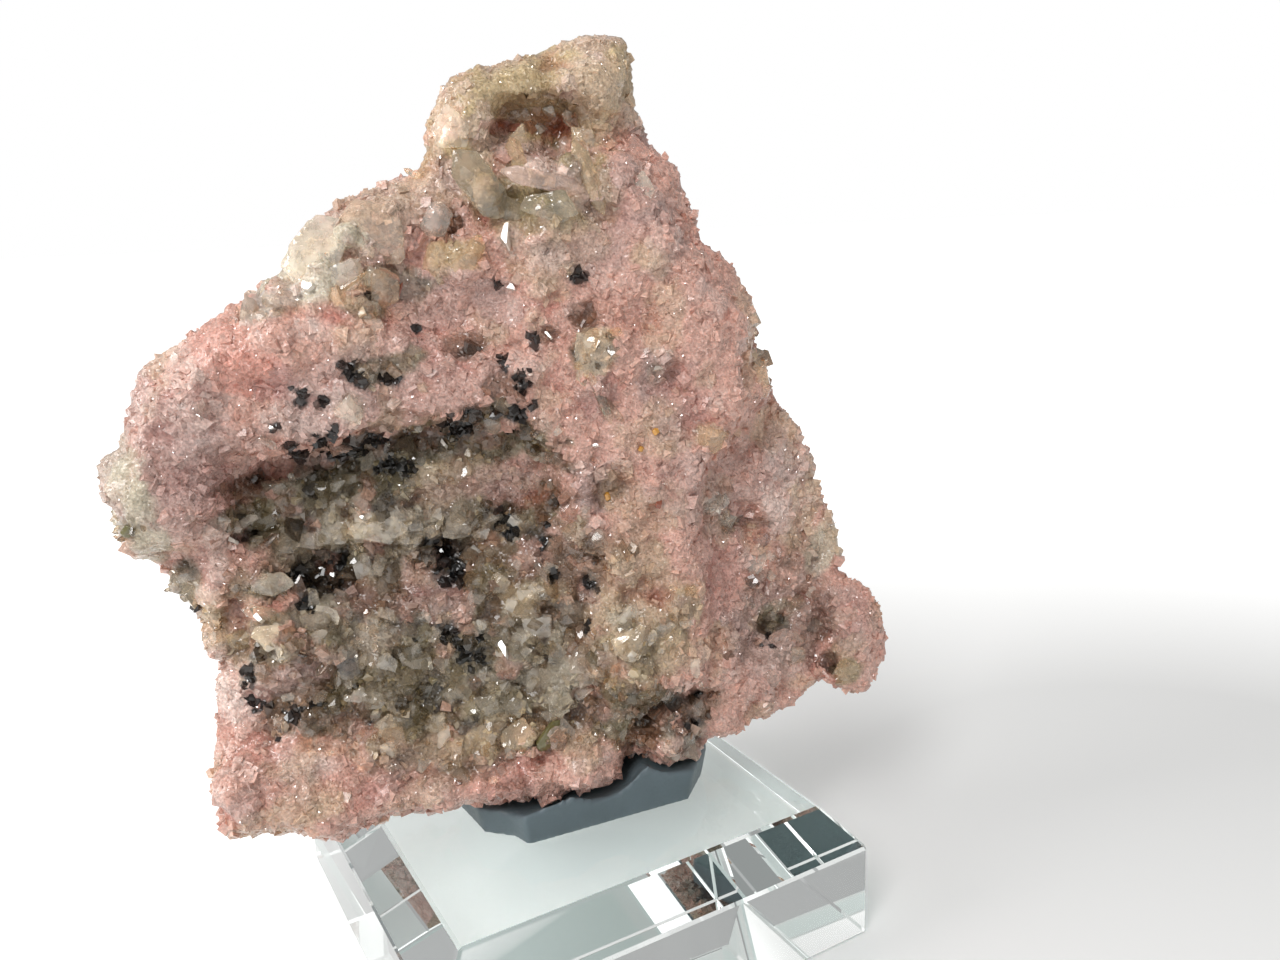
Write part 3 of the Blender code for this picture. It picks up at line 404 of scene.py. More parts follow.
# %% Patches of the lower half
LOWER_PATCHES = (
    # the wide stained hollow that most of the quartz grows in
    ("umber", -13.0, 52.0, 15.5, 9.0, 4, 0.85),
    ("umber", -12.0, 38.0, 14.5, 11.5, 8, 0.8),
    ("umber", 0.5, 37.0, 11.5, 14.0, 12, 0.75),
    ("umber", -8.0, 27.0, 12.0, 4.5, 8, 0.7),
    ("umber", -24.5, 36.5, 6.0, 5.0, 0, 0.6),
    ("umber", 25.5, 35.5, 6.0, 6.5, 0, 0.55),
    ("umber", 11.5, 25.5, 7.0, 3.0, 8, 0.7),
    # the shaded hollow under the ledge
    ("grey", -14.0, 52.5, 13.0, 6.6, 4, 0.8),
    ("green", -12.0, 57.0, 13.5, 2.6, 6, 0.85),
    # a thin dark band just under the ledge: painted shade
    ("dark", -15.0, 58.8, 11.0, 1.8, 5, 0.35),
    ("dark", -26.6, 57.2, 2.0, 0.7, 12, 0.6),
    ("brown", -27.2, 57.0, 3.0, 1.4, 12, 0.6),
    ("grey", -24.2, 56.3, 1.6, 1.4, 0, 0.7),
    ("green", -25.5, 53.6, 4.5, 2.0, 0, 0.7),
    ("brown", -23.4, 54.2, 1.4, 0.9, 0, 0.7),
    ("dark", -27.8, 52.2, 1.5, 0.6, 8, 0.9),
    ("grey", -18.0, 52.0, 4.2, 3.0, 5, 0.85),
    ("cream", -17.0, 51.6, 2.8, 1.6, 5, 0.5),
    ("tan", -8.0, 55.5, 5.0, 2.4, 8, 0.55),
    ("brown", -9.8, 53.6, 2.2, 1.6, 0, 0.5),
    ("rose", -3.0, 55.0, 4.4, 2.4, 8, 0.7),
    ("rust", -0.8, 52.8, 2.0, 1.0, 8, 0.7),
    ("brown", 3.0, 52.4, 1.8, 1.4, 0, 0.6),
    ("rust", -4.6, 59.0, 1.6, 0.8, 0, 0.5),
    # left rim
    ("pale", -31.5, 49.5, 1.8, 4.4, -25, 0.85),
    ("grey", -33.8, 47.6, 1.3, 3.4, -20, 0.8),
    ("brown", -28.7, 47.0, 1.1, 2.2, -20, 0.75),
    ("grey", -26.2, 46.8, 2.0, 1.8, 0, 0.85),
    ("cream", -32.0, 43.0, 1.7, 2.6, -10, 0.7),
    ("pale", -31.6, 37.5, 1.8, 4.6, 6, 0.8),
    ("cream", -33.8, 33.5, 0.9, 4.0, 0, 0.85),
    # dark slots and crystals in the middle
    ("dark", -21.0, 47.2, 3.4, 2.4, 14, 0.95),
    ("brown", -18.4, 44.2, 2.0, 1.4, 10, 0.75),
    ("dark", -22.0, 45.0, 2.4, 1.1, 10, 0.7),
    ("brown", -9.8, 47.0, 2.8, 3.2, 0, 0.8),
    ("dark", -9.6, 47.6, 2.4, 2.8, 0, 0.85),
    ("rose", -12.8, 45.6, 1.4, 1.6, 0, 0.7),
    ("mauve", -11.5, 43.6, 3.6, 1.8, 5, 0.65),
    ("dark", -0.4, 48.2, 1.6, 1.8, -30, 0.6),
    ("dark", 4.2, 41.0, 1.1, 3.0, -6, 0.75),
    # quartz of the lower left
    ("grey", -24.5, 41.6, 6.0, 3.0, 8, 0.85),
    ("cream", -25.5, 41.0, 4.0, 1.8, 8, 0.5),
    ("brown", -22.6, 38.8, 2.4, 1.4, 10, 0.65),
    ("mauve", -24.6, 37.0, 3.4, 1.6, 8, 0.7),
    ("grey", -16.5, 39.5, 6.0, 3.0, 5, 0.6),
    ("green", -13.0, 35.4, 9.0, 3.2, 8, 0.75),
    ("grey", -15.0, 32.5, 5.5, 2.4, 8, 0.7),
    ("grey", -3.0, 38.8, 5.4, 5.4, 0, 0.85),
    ("cream", -1.5, 42.0, 4.0, 2.6, 0, 0.5),
    ("grey", -3.5, 31.5, 7.0, 3.6, 8, 0.85),
    ("green", -9.0, 30.5, 5.0, 2.2, 8, 0.6),
    ("cream", -16.6, 28.8, 2.6, 2.5, 0, 0.35),
    ("cream", -5.5, 26.8, 5.0, 2.4, 10, 0.75),
    ("green", -12.3, 33.2, 3.0, 2.0, 0, 0.7),
    ("dark", -12.3, 33.0, 2.0, 1.0, 10, 0.5),
    ("tan", -11.5, 26.0, 3.0, 2.0, 0, 0.6),
    ("grey", 2.0, 28.5, 3.2, 2.4, 8, 0.7),
    ("tan", 3.4, 23.2, 3.0, 2.8, 0, 0.6),
    # tan and cream foot of the slab
    ("tan", 10.4, 38.8, 6.0, 6.6, 0, 0.7),
    ("cream", 10.2, 33.4, 5.8, 4.6, 0, 0.65),
    ("grey", 8.6, 37.9, 1.9, 1.8, 0, 0.6),
    ("cream", 14.6, 38.5, 1.8, 2.4, -20, 0.5),
    ("rust", 12.2, 40.2, 1.4, 0.9, 0, 0.55),
    ("brown", 6.0, 33.6, 0.9, 2.2, 0, 0.6),
    ("green", 9.5, 27.0, 5.5, 2.0, 10, 0.7),
    ("dark", 13.5, 27.0, 3.6, 1.0, 8, 0.7),
    ("mauve", 6.2, 52.8, 2.6, 2.8, -20, 0.9),
    ("brown", 7.2, 53.2, 2.2, 2.2, -20, 0.8),
    ("mauve", 10.6, 51.8, 2.4, 1.1, -16, 0.6),
    ("rust", 11.8, 50.3, 1.1, 0.4, -10, 0.85),
    ("brown", 9.3, 45.6, 0.7, 0.9, 0, 0.5),
    # stepped right flank
    ("rose", 19.4, 44.0, 2.6, 9.0, 0, 0.5),
    ("pale", 27.0, 50.3, 3.2, 5.0, 0, 0.95),
    ("mauve", 25.0, 34.0, 6.0, 7.0, 0, 0.6),
    ("tan", 18.2, 57.3, 1.9, 1.4, -20, 0.8),
    ("tan", 25.0, 57.4, 3.0, 2.6, 0, 0.6),
    ("white", 18.6, 49.6, 1.5, 1.2, 30, 0.7),
    ("grey", 19.8, 47.4, 1.2, 1.5, 0, 0.7),
    ("brown", 22.6, 47.2, 1.8, 0.8, -14, 0.7),
    ("tan", 29.0, 49.5, 1.9, 6.0, -14, 0.7),
    ("haze", 31.2, 43.8, 2.4, 3.6, -16, 0.85),
    ("brown", 27.0, 43.2, 3.4, 2.4, -10, 0.3),
    ("green", 25.2, 36.4, 2.8, 1.4, 10, 0.6),
    ("dark", 24.6, 34.6, 1.8, 1.8, 0, 0.7),
    ("brown", 31.0, 34.0, 1.2, 2.8, -10, 0.75),
    ("salmon", 36.2, 34.2, 3.4, 4.0, 0, 0.6),
    ("tan", 33.6, 30.6, 2.8, 1.6, 10, 0.7),
    ("moss", 33.8, 27.6, 2.0, 1.8, 0, 0.85),
    ("dark", 31.6, 29.2, 1.2, 1.6, 0, 0.6),
    ("grey", 14.0, 22.5, 2.6, 2.8, 0, 0.6),
    ("dark", 14.4, 24.6, 2.6, 1.4, 8, 0.6),
    ("brown", 9.2, 23.6, 2.6, 1.0, 6, 0.9),
    # pink along the bottom
    ("pale", -25.0, 27.0, 3.4, 1.7, -12, 0.6),
    ("salmon", -23.5, 29.2, 3.6, 1.0, -10, 0.6),
    ("tan", -27.5, 21.6, 6.0, 1.9, 8, 0.55),
    ("rose", -16.5, 23.0, 4.5, 2.0, 8, 0.6),
    ("salmon", -6.0, 21.6, 3.4, 1.8, 6, 0.4),
    ("rose", -4.6, 19.9, 2.4, 2.0, 0, 0.7),
    ("brown", -4.6, 19.9, 2.0, 1.8, 0, 0.4),
    ("pale", -29.7, 35.3, 2.2, 3.0, 0, 0.95),
)
print(len(LOWER_PATCHES), "patches in the lower half")

# %% Spots of black sphalerite: centre (x, z), half width, half height
BLACK_SPOTS = (
    (-21.3, 65.7, 0.7, 0.5), (-21.2, 64.3, 1.1, 0.5), (-19.3, 64.4, 0.8, 0.4), (-16.9, 67.3, 0.9, 0.9),
    (-16.0, 66.2, 1.0, 0.6), (-13.0, 65.9, 0.9, 0.4), (-22.4, 61.7, 1.0, 0.7), (-21.6, 59.6, 1.9, 1.7),
    (-18.6, 59.4, 2.2, 1.2), (-15.3, 60.4, 1.5, 0.8), (-18.6, 61.7, 0.6, 0.5), (-13.2, 57.6, 1.8, 1.0),
    (-7.7, 61.0, 1.7, 0.9), (-1.4, 61.4, 1.7, 1.2), (-2.5, 66.7, 0.4, 1.1), (-0.9, 64.8, 0.9, 1.0),
    (-9.1, 73.9, 0.7, 0.5), (-14.2, 74.2, 0.6, 0.3), (-10.3, 70.5, 0.4, 0.5), (5.3, 74.7, 0.9, 0.6),
    (-2.6, 74.9, 0.4, 0.6), (-22.0, 52.7, 0.6, 0.3), (-23.0, 47.0, 1.0, 1.0), (-20.6, 48.2, 1.4, 0.7),
    (-23.0, 44.2, 1.0, 0.7), (-11.0, 49.4, 0.9, 0.5), (-9.4, 47.0, 1.3, 1.5), (-9.0, 45.0, 1.6, 0.7),
    (-4.0, 50.3, 1.1, 1.3), (-3.2, 49.2, 1.2, 0.6), (-0.2, 48.4, 1.0, 1.4), (1.2, 44.2, 0.7, 0.6),
    (4.4, 42.6, 0.8, 1.0), (3.9, 37.6, 0.5, 1.2), (-9.3, 38.9, 1.8, 1.6), (-7.8, 36.8, 1.2, 1.6),
    (-13.2, 39.4, 0.6, 0.6), (-29.2, 37.7, 1.0, 0.9), (-28.2, 34.5, 1.1, 1.1), (-25.7, 33.4, 0.9, 1.3),
    (-23.2, 33.4, 2.0, 0.5), (-27.4, 30.4, 0.6, 0.3), (-18.2, 30.6, 0.5, 0.4), (-32.7, 45.7, 0.4, 0.3),
    (21.5, 71.9, 0.3, 0.3), (24.0, 32.8, 1.0, 1.1), (28.6, 36.6, 0.4, 0.4), (14.8, 24.2, 1.2, 0.6),
    (14.0, 27.6, 2.2, 0.4), (-23.6, 62.6, 0.4, 0.4), (0.6, 69.0, 0.5, 0.8),
)
PATCHES = UPPER_PATCHES + LOWER_PATCHES
BLACK_PATCHES = tuple(("black", *spot, 0, 0.95) for spot in BLACK_SPOTS)
print(len(BLACK_PATCHES), "black spots")

# %% Finding places on the display face
FACE_Y = -8.0
FACE_SLOPE = 0.27


def seen_on_face(points):
    """Where each point appears on the plane of the display face, as (x, z) in millimetres."""
    eye = np.array(CAMERA_PLACE) / MM
    ray = points / MM - eye
    reach = (FACE_Y + FACE_SLOPE * eye[0] - eye[1]) / (ray[:, 1] - FACE_SLOPE * ray[:, 0])
    seen = eye + ray * reach[:, None]
    return seen[:, 0], seen[:, 2]


def depth_behind(points):
    """How far each point lies behind the plane of the display face, in millimetres."""
    return points[:, 1] / MM - FACE_Y - FACE_SLOPE * points[:, 0] / MM


def patch_weight(x, z, wander, patch, full=0.75, none=1.2):
    """How fully a patch covers each place (x, z), with an edge broken up by noise."""
    _, centre_x, centre_z, half_width, half_height, turn, density = patch
    c, s = math.cos(math.radians(turn)), math.sin(math.radians(turn))
    dx, dz = x - centre_x, z - centre_z
    oval = np.hypot((dx * c + dz * s) / half_width, (dz * c - dx * s) / half_height)
    return density * (1.0 - smoothstep(full, none, oval + wander))


def back_weights(points):
    """The minerals of the back and sides, as (mineral, weight) pairs painted in turn."""
    veins = rough_noise(points, 0.016, 31)
    bands = rough_noise(points, 0.011, 41)
    specks = rough_noise(points, 0.004, 51)
    return (
        ("pale", 0.8 * smoothstep(0.0, 0.5, rough_noise(points, 0.02, 21))),
        ("salmon", 0.7 * smoothstep(0.1, 0.6, rough_noise(points, 0.014, 25))),
        ("cream", 0.9 * smoothstep(0.25, 0.4, veins)),
        ("grey", 0.9 * smoothstep(0.3, 0.45, bands)),
        ("green", 0.7 * smoothstep(0.55, 0.75, bands)),
        ("tan", 0.6 * smoothstep(0.35, 0.6, -veins)),
        ("brown", 0.6 * smoothstep(0.55, 0.75, -bands)),
        ("black", 0.8 * smoothstep(0.75, 0.95, specks) * smoothstep(0.0, 0.4, bands)),
    )


# mineral, size of its specks in metres, how common they are, where: over quartz or over sugar
MARBLING = (
    ("brown", 0.0024, 0.30, 0.75, "quartz"),
    ("dark", 0.0018, 0.40, 0.8, "quartz"),
    ("pink", 0.0030, 0.34, 0.6, "quartz"),
    ("green", 0.0034, 0.30, 0.6, "quartz"),
    ("pale", 0.0028, 0.25, 0.4, "sugar"),
    ("tan", 0.0052, 0.20, 0.45, "sugar"),
    ("mauve", 0.0064, 0.25, 0.45, "sugar"),
    ("brown", 0.0009, 0.85, 0.8, "sugar"),
)


def patch_layers(points, wander):
    """The patches alone, as (mineral index, weight at each point)."""
    x, z = seen_on_face(points)
    return [(NAMES.index(patch[0]), patch_weight(x, z, wander, patch)) for patch in PATCHES]


def family_share(layers, family):
    """How much of the stone belongs to a family at each point of the display side."""
    share = np.zeros(len(layers[0][1]))
    for index, weight in layers:
        share += (float(MINERALS[NAMES[index]][2] == family) - share) * weight
    return share


def dark_share(points):
    """How dark the stone is at each point: the darkest minerals lie deepest."""
    x, z = seen_on_face(points)
    share = np.zeros(len(points))
    for patch in PATCHES:
        if patch[0] in ("dark", "brown"):
            share = np.maximum(share, patch_weight(x, z, patch_wander(points), patch))
    return share * (depth_behind(points) < FRONT_DEPTH)


def patch_wander(points):
    """Noise that breaks up the edges of the patches."""
    return 0.26 * soft_noise(points, 0.0022, 5) + 0.20 * soft_noise(points, 0.0009, 6)


def marbling(points, layers):
    """Specks of other minerals, in quartz and in sugar."""
    quartz = family_share(layers, "quartz")
    specks = []
    for k, (name, size, level, density, where) in enumerate(MARBLING):
        share = quartz if where == "quartz" else 1.0 - quartz
        noise = soft_noise(points, size, 140 + k) + 0.4 * soft_noise(points, 0.4 * size, 160 + k)
        specks.append((NAMES.index(name), density * share * smoothstep(level, level + 0.25, noise)))
    return specks


def paint_layers(points):
    """Every patch, then the back, as (mineral index, weight at each point)."""
    behind = smoothstep(9.0, 15.0, depth_behind(points) + 2.0 * soft_noise(points, 0.006, 8))
    x, z = seen_on_face(points)
    layers = patch_layers(points, patch_wander(points))
    layers += marbling(points, layers)
    ragged = 0.8 * soft_noise(points, 0.0012, 15) + 0.7 * soft_noise(points, 0.0005, 16)
    layers += [(NAMES.index("black"), patch_weight(x, z, ragged, spot, 0.7, 0.8)) for spot in BLACK_PATCHES]
    layers.append((NAMES.index("pink"), behind))
    layers += [(NAMES.index(name), weight * behind) for name, weight in back_weights(points)]
    return layers


def pick_minerals(layers, rng):
    """One mineral for each grain: where patches meet, grains of both are mixed."""
    count = len(layers[0][1])
    chosen = np.full(count, NAMES.index("pink"))
    for index, weight in layers:
        chosen[rng.random(count) < weight] = index
    return chosen


def blended_tones(layers):
    """A colour for each point, blended between the minerals."""
    colors = np.array([MINERALS[name][0] for name in NAMES])
    tones = np.tile(colors[NAMES.index("pink")], (len(layers[0][1]), 1))
    for index, weight in layers:
        tones += (colors[index] - tones) * weight[:, None]
    return tones


# how strongly each screen colour answers to clearness: clear quartz over dark stone looks warm
CLOUDS = (0.46, 0.52, 0.62)
CLOUD_SHADE = 0.3


def painted(places, layers=None):
    """The colour at each point, with quartz milky in one place and clear over dark stone in another."""
    layers = layers or paint_layers(places)
    share = np.minimum(family_share(layers, "quartz") + 0.4 * family_share(layers, "mass"), 1.0)
    cloud = 1.2 * soft_noise(places, 0.0038, 31) + 0.8 * soft_noise(places, 0.0015, 32)
    return blended_tones(layers) * np.exp((share * (cloud - CLOUD_SHADE))[:, None] * CLOUDS)


# %% [markdown]
# ## Shader groups that several minerals share
#
# Two effects appear in every mineral: small changes of tint inside a crystal, and a fine uneven
# surface. Each is a node group, built once. A group gives out only a colour or a normal, and each
# material feeds it with its own strength.

# %% Node groups
FACET_TILT = 1.6


def new_group(name, sockets):
    """An empty shader group with the named (name, kind, in_out) sockets."""
    group = bpy.data.node_groups.new(name, "ShaderNodeTree")
    for label, kind, way in sockets:
        group.interface.new_socket(name=label, in_out=way, socket_type=kind)
    ends = group.nodes.new("NodeGroupInput"), group.nodes.new("NodeGroupOutput")
    return group, ends[0], ends[1]


def tint_group():
    """Cloudy variation: lightens and darkens a colour by soft noise in the stone's own space."""
    group, start, end = new_group("cloudy_tint", (
        ("Color", "NodeSocketColor", "INPUT"), ("Scale", "NodeSocketFloat", "INPUT"),
        ("Amount", "NodeSocketFloat", "INPUT"), ("Color", "NodeSocketColor", "OUTPUT")))
    nodes, links = group.nodes, group.links
    place = nodes.new("ShaderNodeTexCoord")
    cloud = nodes.new("ShaderNodeTexNoise")
    cloud.inputs["Detail"].default_value = 4.0
    links.new(place.outputs["Object"], cloud.inputs["Vector"])
    links.new(start.outputs["Scale"], cloud.inputs["Scale"])
    swing = nodes.new("ShaderNodeMath")
    swing.operation = "SUBTRACT"
    swing.inputs[1].default_value = 0.5
    links.new(cloud.outputs["Fac"], swing.inputs[0])
    strength = nodes.new("ShaderNodeMath")
    strength.operation = "MULTIPLY_ADD"
    strength.inputs[2].default_value = 1.0
    links.new(swing.outputs[0], strength.inputs[0])
    links.new(start.outputs["Amount"], strength.inputs[1])
    scaled = nodes.new("ShaderNodeVectorMath")
    scaled.operation = "SCALE"
    links.new(start.outputs["Color"], scaled.inputs[0])
    links.new(strength.outputs[0], scaled.inputs["Scale"])
    links.new(scaled.outputs[0], end.inputs["Color"])
    return group


def bump_group():
    """Tiny flat facets, each tilted its own way, as a bumped normal."""
    group, start, end = new_group("crystal_bump", (
        ("Scale", "NodeSocketFloat", "INPUT"), ("Strength", "NodeSocketFloat", "INPUT"),
        ("Normal", "NodeSocketVector", "OUTPUT")))
    nodes, links = group.nodes, group.links
    place = nodes.new("ShaderNodeTexCoord")
    cell = nodes.new("ShaderNodeTexVoronoi")
    cell.inputs["Randomness"].default_value = 1.0
    links.new(place.outputs["Object"], cell.inputs["Vector"])
    links.new(start.outputs["Scale"], cell.inputs["Scale"])
    away = nodes.new("ShaderNodeVectorMath")
    away.operation = "SUBTRACT"
    links.new(place.outputs["Object"], away.inputs[0])
    links.new(cell.outputs["Position"], away.inputs[1])
    tilt = nodes.new("ShaderNodeVectorMath")
    tilt.operation = "SUBTRACT"
    tilt.inputs[1].default_value = (0.5, 0.5, 0.5)
    links.new(cell.outputs["Color"], tilt.inputs[0])
    height = nodes.new("ShaderNodeVectorMath")
    height.operation = "DOT_PRODUCT"
    links.new(away.outputs[0], height.inputs[0])
    links.new(tilt.outputs[0], height.inputs[1])
    bump = nodes.new("ShaderNodeBump")
    bump.inputs["Distance"].default_value = FACET_TILT
    links.new(height.outputs["Value"], bump.inputs["Height"])
    links.new(start.outputs["Strength"], bump.inputs["Strength"])
    links.new(bump.outputs["Normal"], end.inputs["Normal"])
    return group


CLOUDY = tint_group()
BUMPY = bump_group()
print("groups:", CLOUDY.name, BUMPY.name)

# %% [markdown]
# ## Materials
#
# Each grain carries its own colour as a mesh attribute called tone, so one material serves a whole
# mineral. Rhodochrosite lets light soak in a little, which gives the sugary glow: that is
# subsurface scattering. Quartz lets light through: that is transmission, with quartz's index of
# refraction, 1.54.

# %% Material helpers
QUARTZ_IOR = 1.54
QUARTZ_SHADOW = (0.9, 0.88, 0.84, 1.0)


def toned_material(name, roughness, tint=(400.0, 0.3), bump=(1500.0, 0.3)):
    """A material that takes its colour from the tone attribute, clouds it and bumps it."""
    mat = bpy.data.materials.new(name)
    mat.use_nodes = True
    nodes, links = mat.node_tree.nodes, mat.node_tree.links
    shader = nodes["Principled BSDF"]
    tone = nodes.new("ShaderNodeAttribute")
    tone.attribute_name = "tone"
    cloud = nodes.new("ShaderNodeGroup")
    cloud.node_tree = CLOUDY
    cloud.inputs["Scale"].default_value, cloud.inputs["Amount"].default_value = tint
    links.new(tone.outputs["Color"], cloud.inputs["Color"])
    links.new(cloud.outputs["Color"], shader.inputs["Base Color"])
    surface = nodes.new("ShaderNodeGroup")
    surface.node_tree = BUMPY
    surface.inputs["Scale"].default_value, surface.inputs["Strength"].default_value = bump
    links.new(surface.outputs["Normal"], shader.inputs["Normal"])
    shader.inputs["Roughness"].default_value = roughness
    return mat, shader


def soak(shader, weight, reach, radius=(1.0, 0.85, 0.8)):
    """Lets light soak in: the share of it, and how far it travels, in millimetres."""
    shader.inputs["Subsurface Weight"].default_value = weight
    shader.inputs["Subsurface Radius"].default_value = radius
    shader.inputs["Subsurface Scale"].default_value = reach * MM


def mix_in(tree, before, share, color):
    """Lets some rays straight through, dimmed by a colour."""
    through = tree.nodes.new("ShaderNodeBsdfTransparent")
    through.inputs["Color"].default_value = color
    mix = tree.nodes.new("ShaderNodeMixShader")
    tree.links.new(share, mix.inputs["Fac"])
    tree.links.new(before.outputs[0], mix.inputs[1])
    tree.links.new(through.outputs["BSDF"], mix.inputs[2])
    return mix


def see_through(mat, shader, share):
    """Quartz that lets light through, and lets it reach the stone behind."""
    shader.inputs["Transmission Weight"].default_value = share
    shader.inputs["IOR"].default_value = QUARTZ_IOR
    tree = mat.node_tree
    path = tree.nodes.new("ShaderNodeLightPath")
    final = mix_in(tree, shader, path.outputs["Is Shadow Ray"], QUARTZ_SHADOW)
    tree.links.new(final.outputs[0], tree.nodes["Material Output"].inputs["Surface"])


def gloss(shader, weight, roughness):
    """A clear polish over the colour: its share and its roughness."""
    shader.inputs["Coat Weight"].default_value = weight
    shader.inputs["Coat Roughness"].default_value = roughness


print("quartz bends light by", QUARTZ_IOR)

# %% Mineral materials
stone, stone_shader = toned_material("rhodochrosite_mass", 0.35, tint=(4200.0, 1.1), bump=(4600.0, 0.9))
soak(stone_shader, 0.5, 0.5)
gloss(stone_shader, 0.5, 0.08)
sugar, sugar_shader = toned_material("rhodochrosite_sugar", 0.3, tint=(4200.0, 0.9), bump=(4600.0, 0.7))
soak(sugar_shader, 0.4, 0.3)
gloss(sugar_shader, 0.45, 0.14)
milky, milky_shader = toned_material("milky_quartz", 0.12)
soak(milky_shader, 0.6, 0.6, (1.0, 0.95, 0.85))
gloss(milky_shader, 0.8, 0.04)
glassy, glassy_shader = toned_material("glassy_quartz", 0.05, tint=(900.0, 0.9), bump=(1300.0, 0.35))
see_through(glassy, glassy_shader, 0.72)
clear, clear_shader = toned_material("clear_quartz", 0.04, tint=(300.0, 0.1), bump=(900.0, 0.12))
see_through(clear, clear_shader, 0.95)
blende, _ = toned_material("black_sphalerite", 0.16)
odd, odd_shader = toned_material("odd_crystals", 0.2)
gloss(odd_shader, 0.8, 0.05)
mirror, mirror_shader = toned_material("polished_face", 0.1, bump=(900.0, 0.0))
gloss(mirror_shader, 1.0, 0.05)
print("materials:", *(m.name for m in (stone, sugar, milky, glassy, clear, blende, odd, mirror)))

# %% [markdown]
# ## The bed
#
# Under the grains lies the stone itself. The solid model has its shape, in flat facets of about
# 2 mm. A voxel remesh turns it into an even, fine mesh, a little smoothing takes the facets away,
# and the display side is divided once more. Noise then adds the rounded lobes of a few millimetres
# that sugary rhodochrosite grows in, and small tilted facets stand for the crystals within it. In the
# end the flattest faces are merged, to keep the piece under 200,000 triangles.

# %% Mesh helpers
BED_VOXEL = 0.56 * MM
SMOOTH_PASSES = 4
FRONT_DEPTH = 11.0


def copy_node(name):
    """A new mesh with a copy of a solid's shape."""
    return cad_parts[name].data.copy()


def object_from(name, mesh, mat):
    """Puts a mesh in the scene with one material."""
    obj = bpy.data.objects.new(name, mesh)
    scene.collection.objects.link(obj)
    mesh.materials.clear()
    mesh.materials.append(mat)
    return obj


def apply_modifiers(obj):
    """Replaces an object's mesh by the one its modifiers make."""
    graph = bpy.context.evaluated_depsgraph_get()
    mesh = bpy.data.meshes.new_from_object(obj.evaluated_get(graph))
    obj.modifiers.clear()
    obj.data = mesh
    return mesh


def vertex_array(mesh):
    """All vertex places of a mesh as one array."""
    places = np.empty(len(mesh.vertices) * 3)
    mesh.vertices.foreach_get("co", places)
    return places.reshape(-1, 3)


def normal_array(mesh):
    """All vertex normals of a mesh as one array."""
    normals = np.empty(len(mesh.vertices) * 3)
    mesh.vertex_normals.foreach_get("vector", normals)
    return normals.reshape(-1, 3)


def set_tones(mesh, tones):
    """Stores a colour for each vertex in the tone attribute."""
    layer = mesh.color_attributes.new("tone", "FLOAT_COLOR", "POINT")
    rgba = np.ones((len(tones), 4))
    rgba[:, :3] = np.clip(tones, 0.0, 1.0)
    layer.data.foreach_set("color", rgba.ravel())


def divide_front(mesh):
    """Divides the faces of the display side, so that it can hold finer relief."""
    bm = bmesh.new()
    bm.from_mesh(mesh)
    bm.verts.ensure_lookup_table()
    depth = depth_behind(np.array([v.co[:] for v in bm.verts]))
    edges = [e for e in bm.edges if max(depth[v.index] for v in e.verts) < FRONT_DEPTH]
    bmesh.ops.subdivide_edges(bm, edges=edges, cuts=1, use_grid_fill=True)
    bmesh.ops.triangulate(bm, faces=bm.faces)
    bm.to_mesh(mesh)
    bm.free()


print("one voxel of the bed in mm:", BED_VOXEL / MM)

# %% Lobes and tilted facets


def hashed(cell, seed):
    """Three random numbers from 0 to 1 for each cell of a grid."""
    out = []
    for k in range(3):
        mix = (cell_key(cell) ^ (seed * 2654435 + k * 9176263)) * 1274126177
        mix = (mix ^ (mix >> 15)) * 2246822519
        out.append(((mix ^ (mix >> 13)) & 0xFFFF) / 65535.0)
    return np.stack(out, axis=-1)


def cells(points, size, seed):
    """Splits space around random seeds: distance to the nearest, and the tilt of its own facet."""
    place = points / size
    cell = np.floor(place).astype(np.int64)
    nearest = np.full(len(points), 1e9)
    height = np.zeros(len(points))
    for step in itertools.product((-1, 0, 1), repeat=3):
        other = cell + np.array(step)
        away = place - other - hashed(other, seed)
        distance = (away * away).sum(axis=1)
        tilt = 2.0 * hashed(other, seed + 1) - 1.0
        closer = distance < nearest
        nearest[closer] = distance[closer]
        height[closer] = ((away * tilt).sum(axis=1) * 1.2 + 0.5 * tilt[:, 0])[closer]
    return nearest, height


def lobes(points, size, seed):
    """Rounded lobes with creases between them: 1 on top of a lobe, 0 or less in a crease."""
    return 1.0 - 2.2 * cells(points, size, seed)[0]


def facets(points, size, seed):
    """Small tilted facets, from about -1 to 1."""
    return cells(points, size, seed)[1]


print("spread of lobe heights:", round(float(lobes(probe, 0.004, 61).std()), 2))

# %% Build the bed
BED_FACES = 194000
DARK_DEPTH = 0.5
BED_SINK = 0.25
BEND = 0.5
# painted shade: the bed is darkened under quartz, so that the gaps between its crystals look shaded, and
# darkened in the creases between its lobes, most of all under quartz
QUARTZ_SHADE = 0.3
CREASE_SHADE = np.array((0.14, 0.32, 0.34))
QUARTZ_CREASE_SHADE = np.array((0.45, 0.55, 0.62))


def smooth_voxels(obj, voxel, passes):
    """Remeshes an object evenly and eases its edges."""
    remesh = obj.modifiers.new("even mesh", "REMESH")
    remesh.mode = "VOXEL"
    remesh.voxel_size = voxel
    ease = obj.modifiers.new("ease edges", "SMOOTH")
    ease.iterations = passes
    return apply_modifiers(obj)


def thin_out(obj, faces):
    """Merges faces where the surface is flattest, down to a number of faces."""
    fewer = obj.modifiers.new("fewer faces", "DECIMATE")
    fewer.ratio = faces / len(obj.data.polygons)
    apply_modifiers(obj)


def bed_lobes(places, quartz, massive):
    """Height of the rounded lobes in millimetres: larger in massive stone, deeper-cut in quartz."""
    bend = np.stack([soft_noise(places, 0.002, 62 + k) for k in range(3)], axis=1)
    bent = places + BEND * MM * bend
    height = (0.34 + 0.3 * quartz) * lobes(bent, 0.0032, 61) + 0.14 * lobes(bent, 0.0015, 66)
    height += 0.6 * massive * lobes(bent, 0.0048, 64)
    return height + 0.35 * (1.0 - quartz) * (1.0 - massive) * lobes(bent, 0.0046, 67)


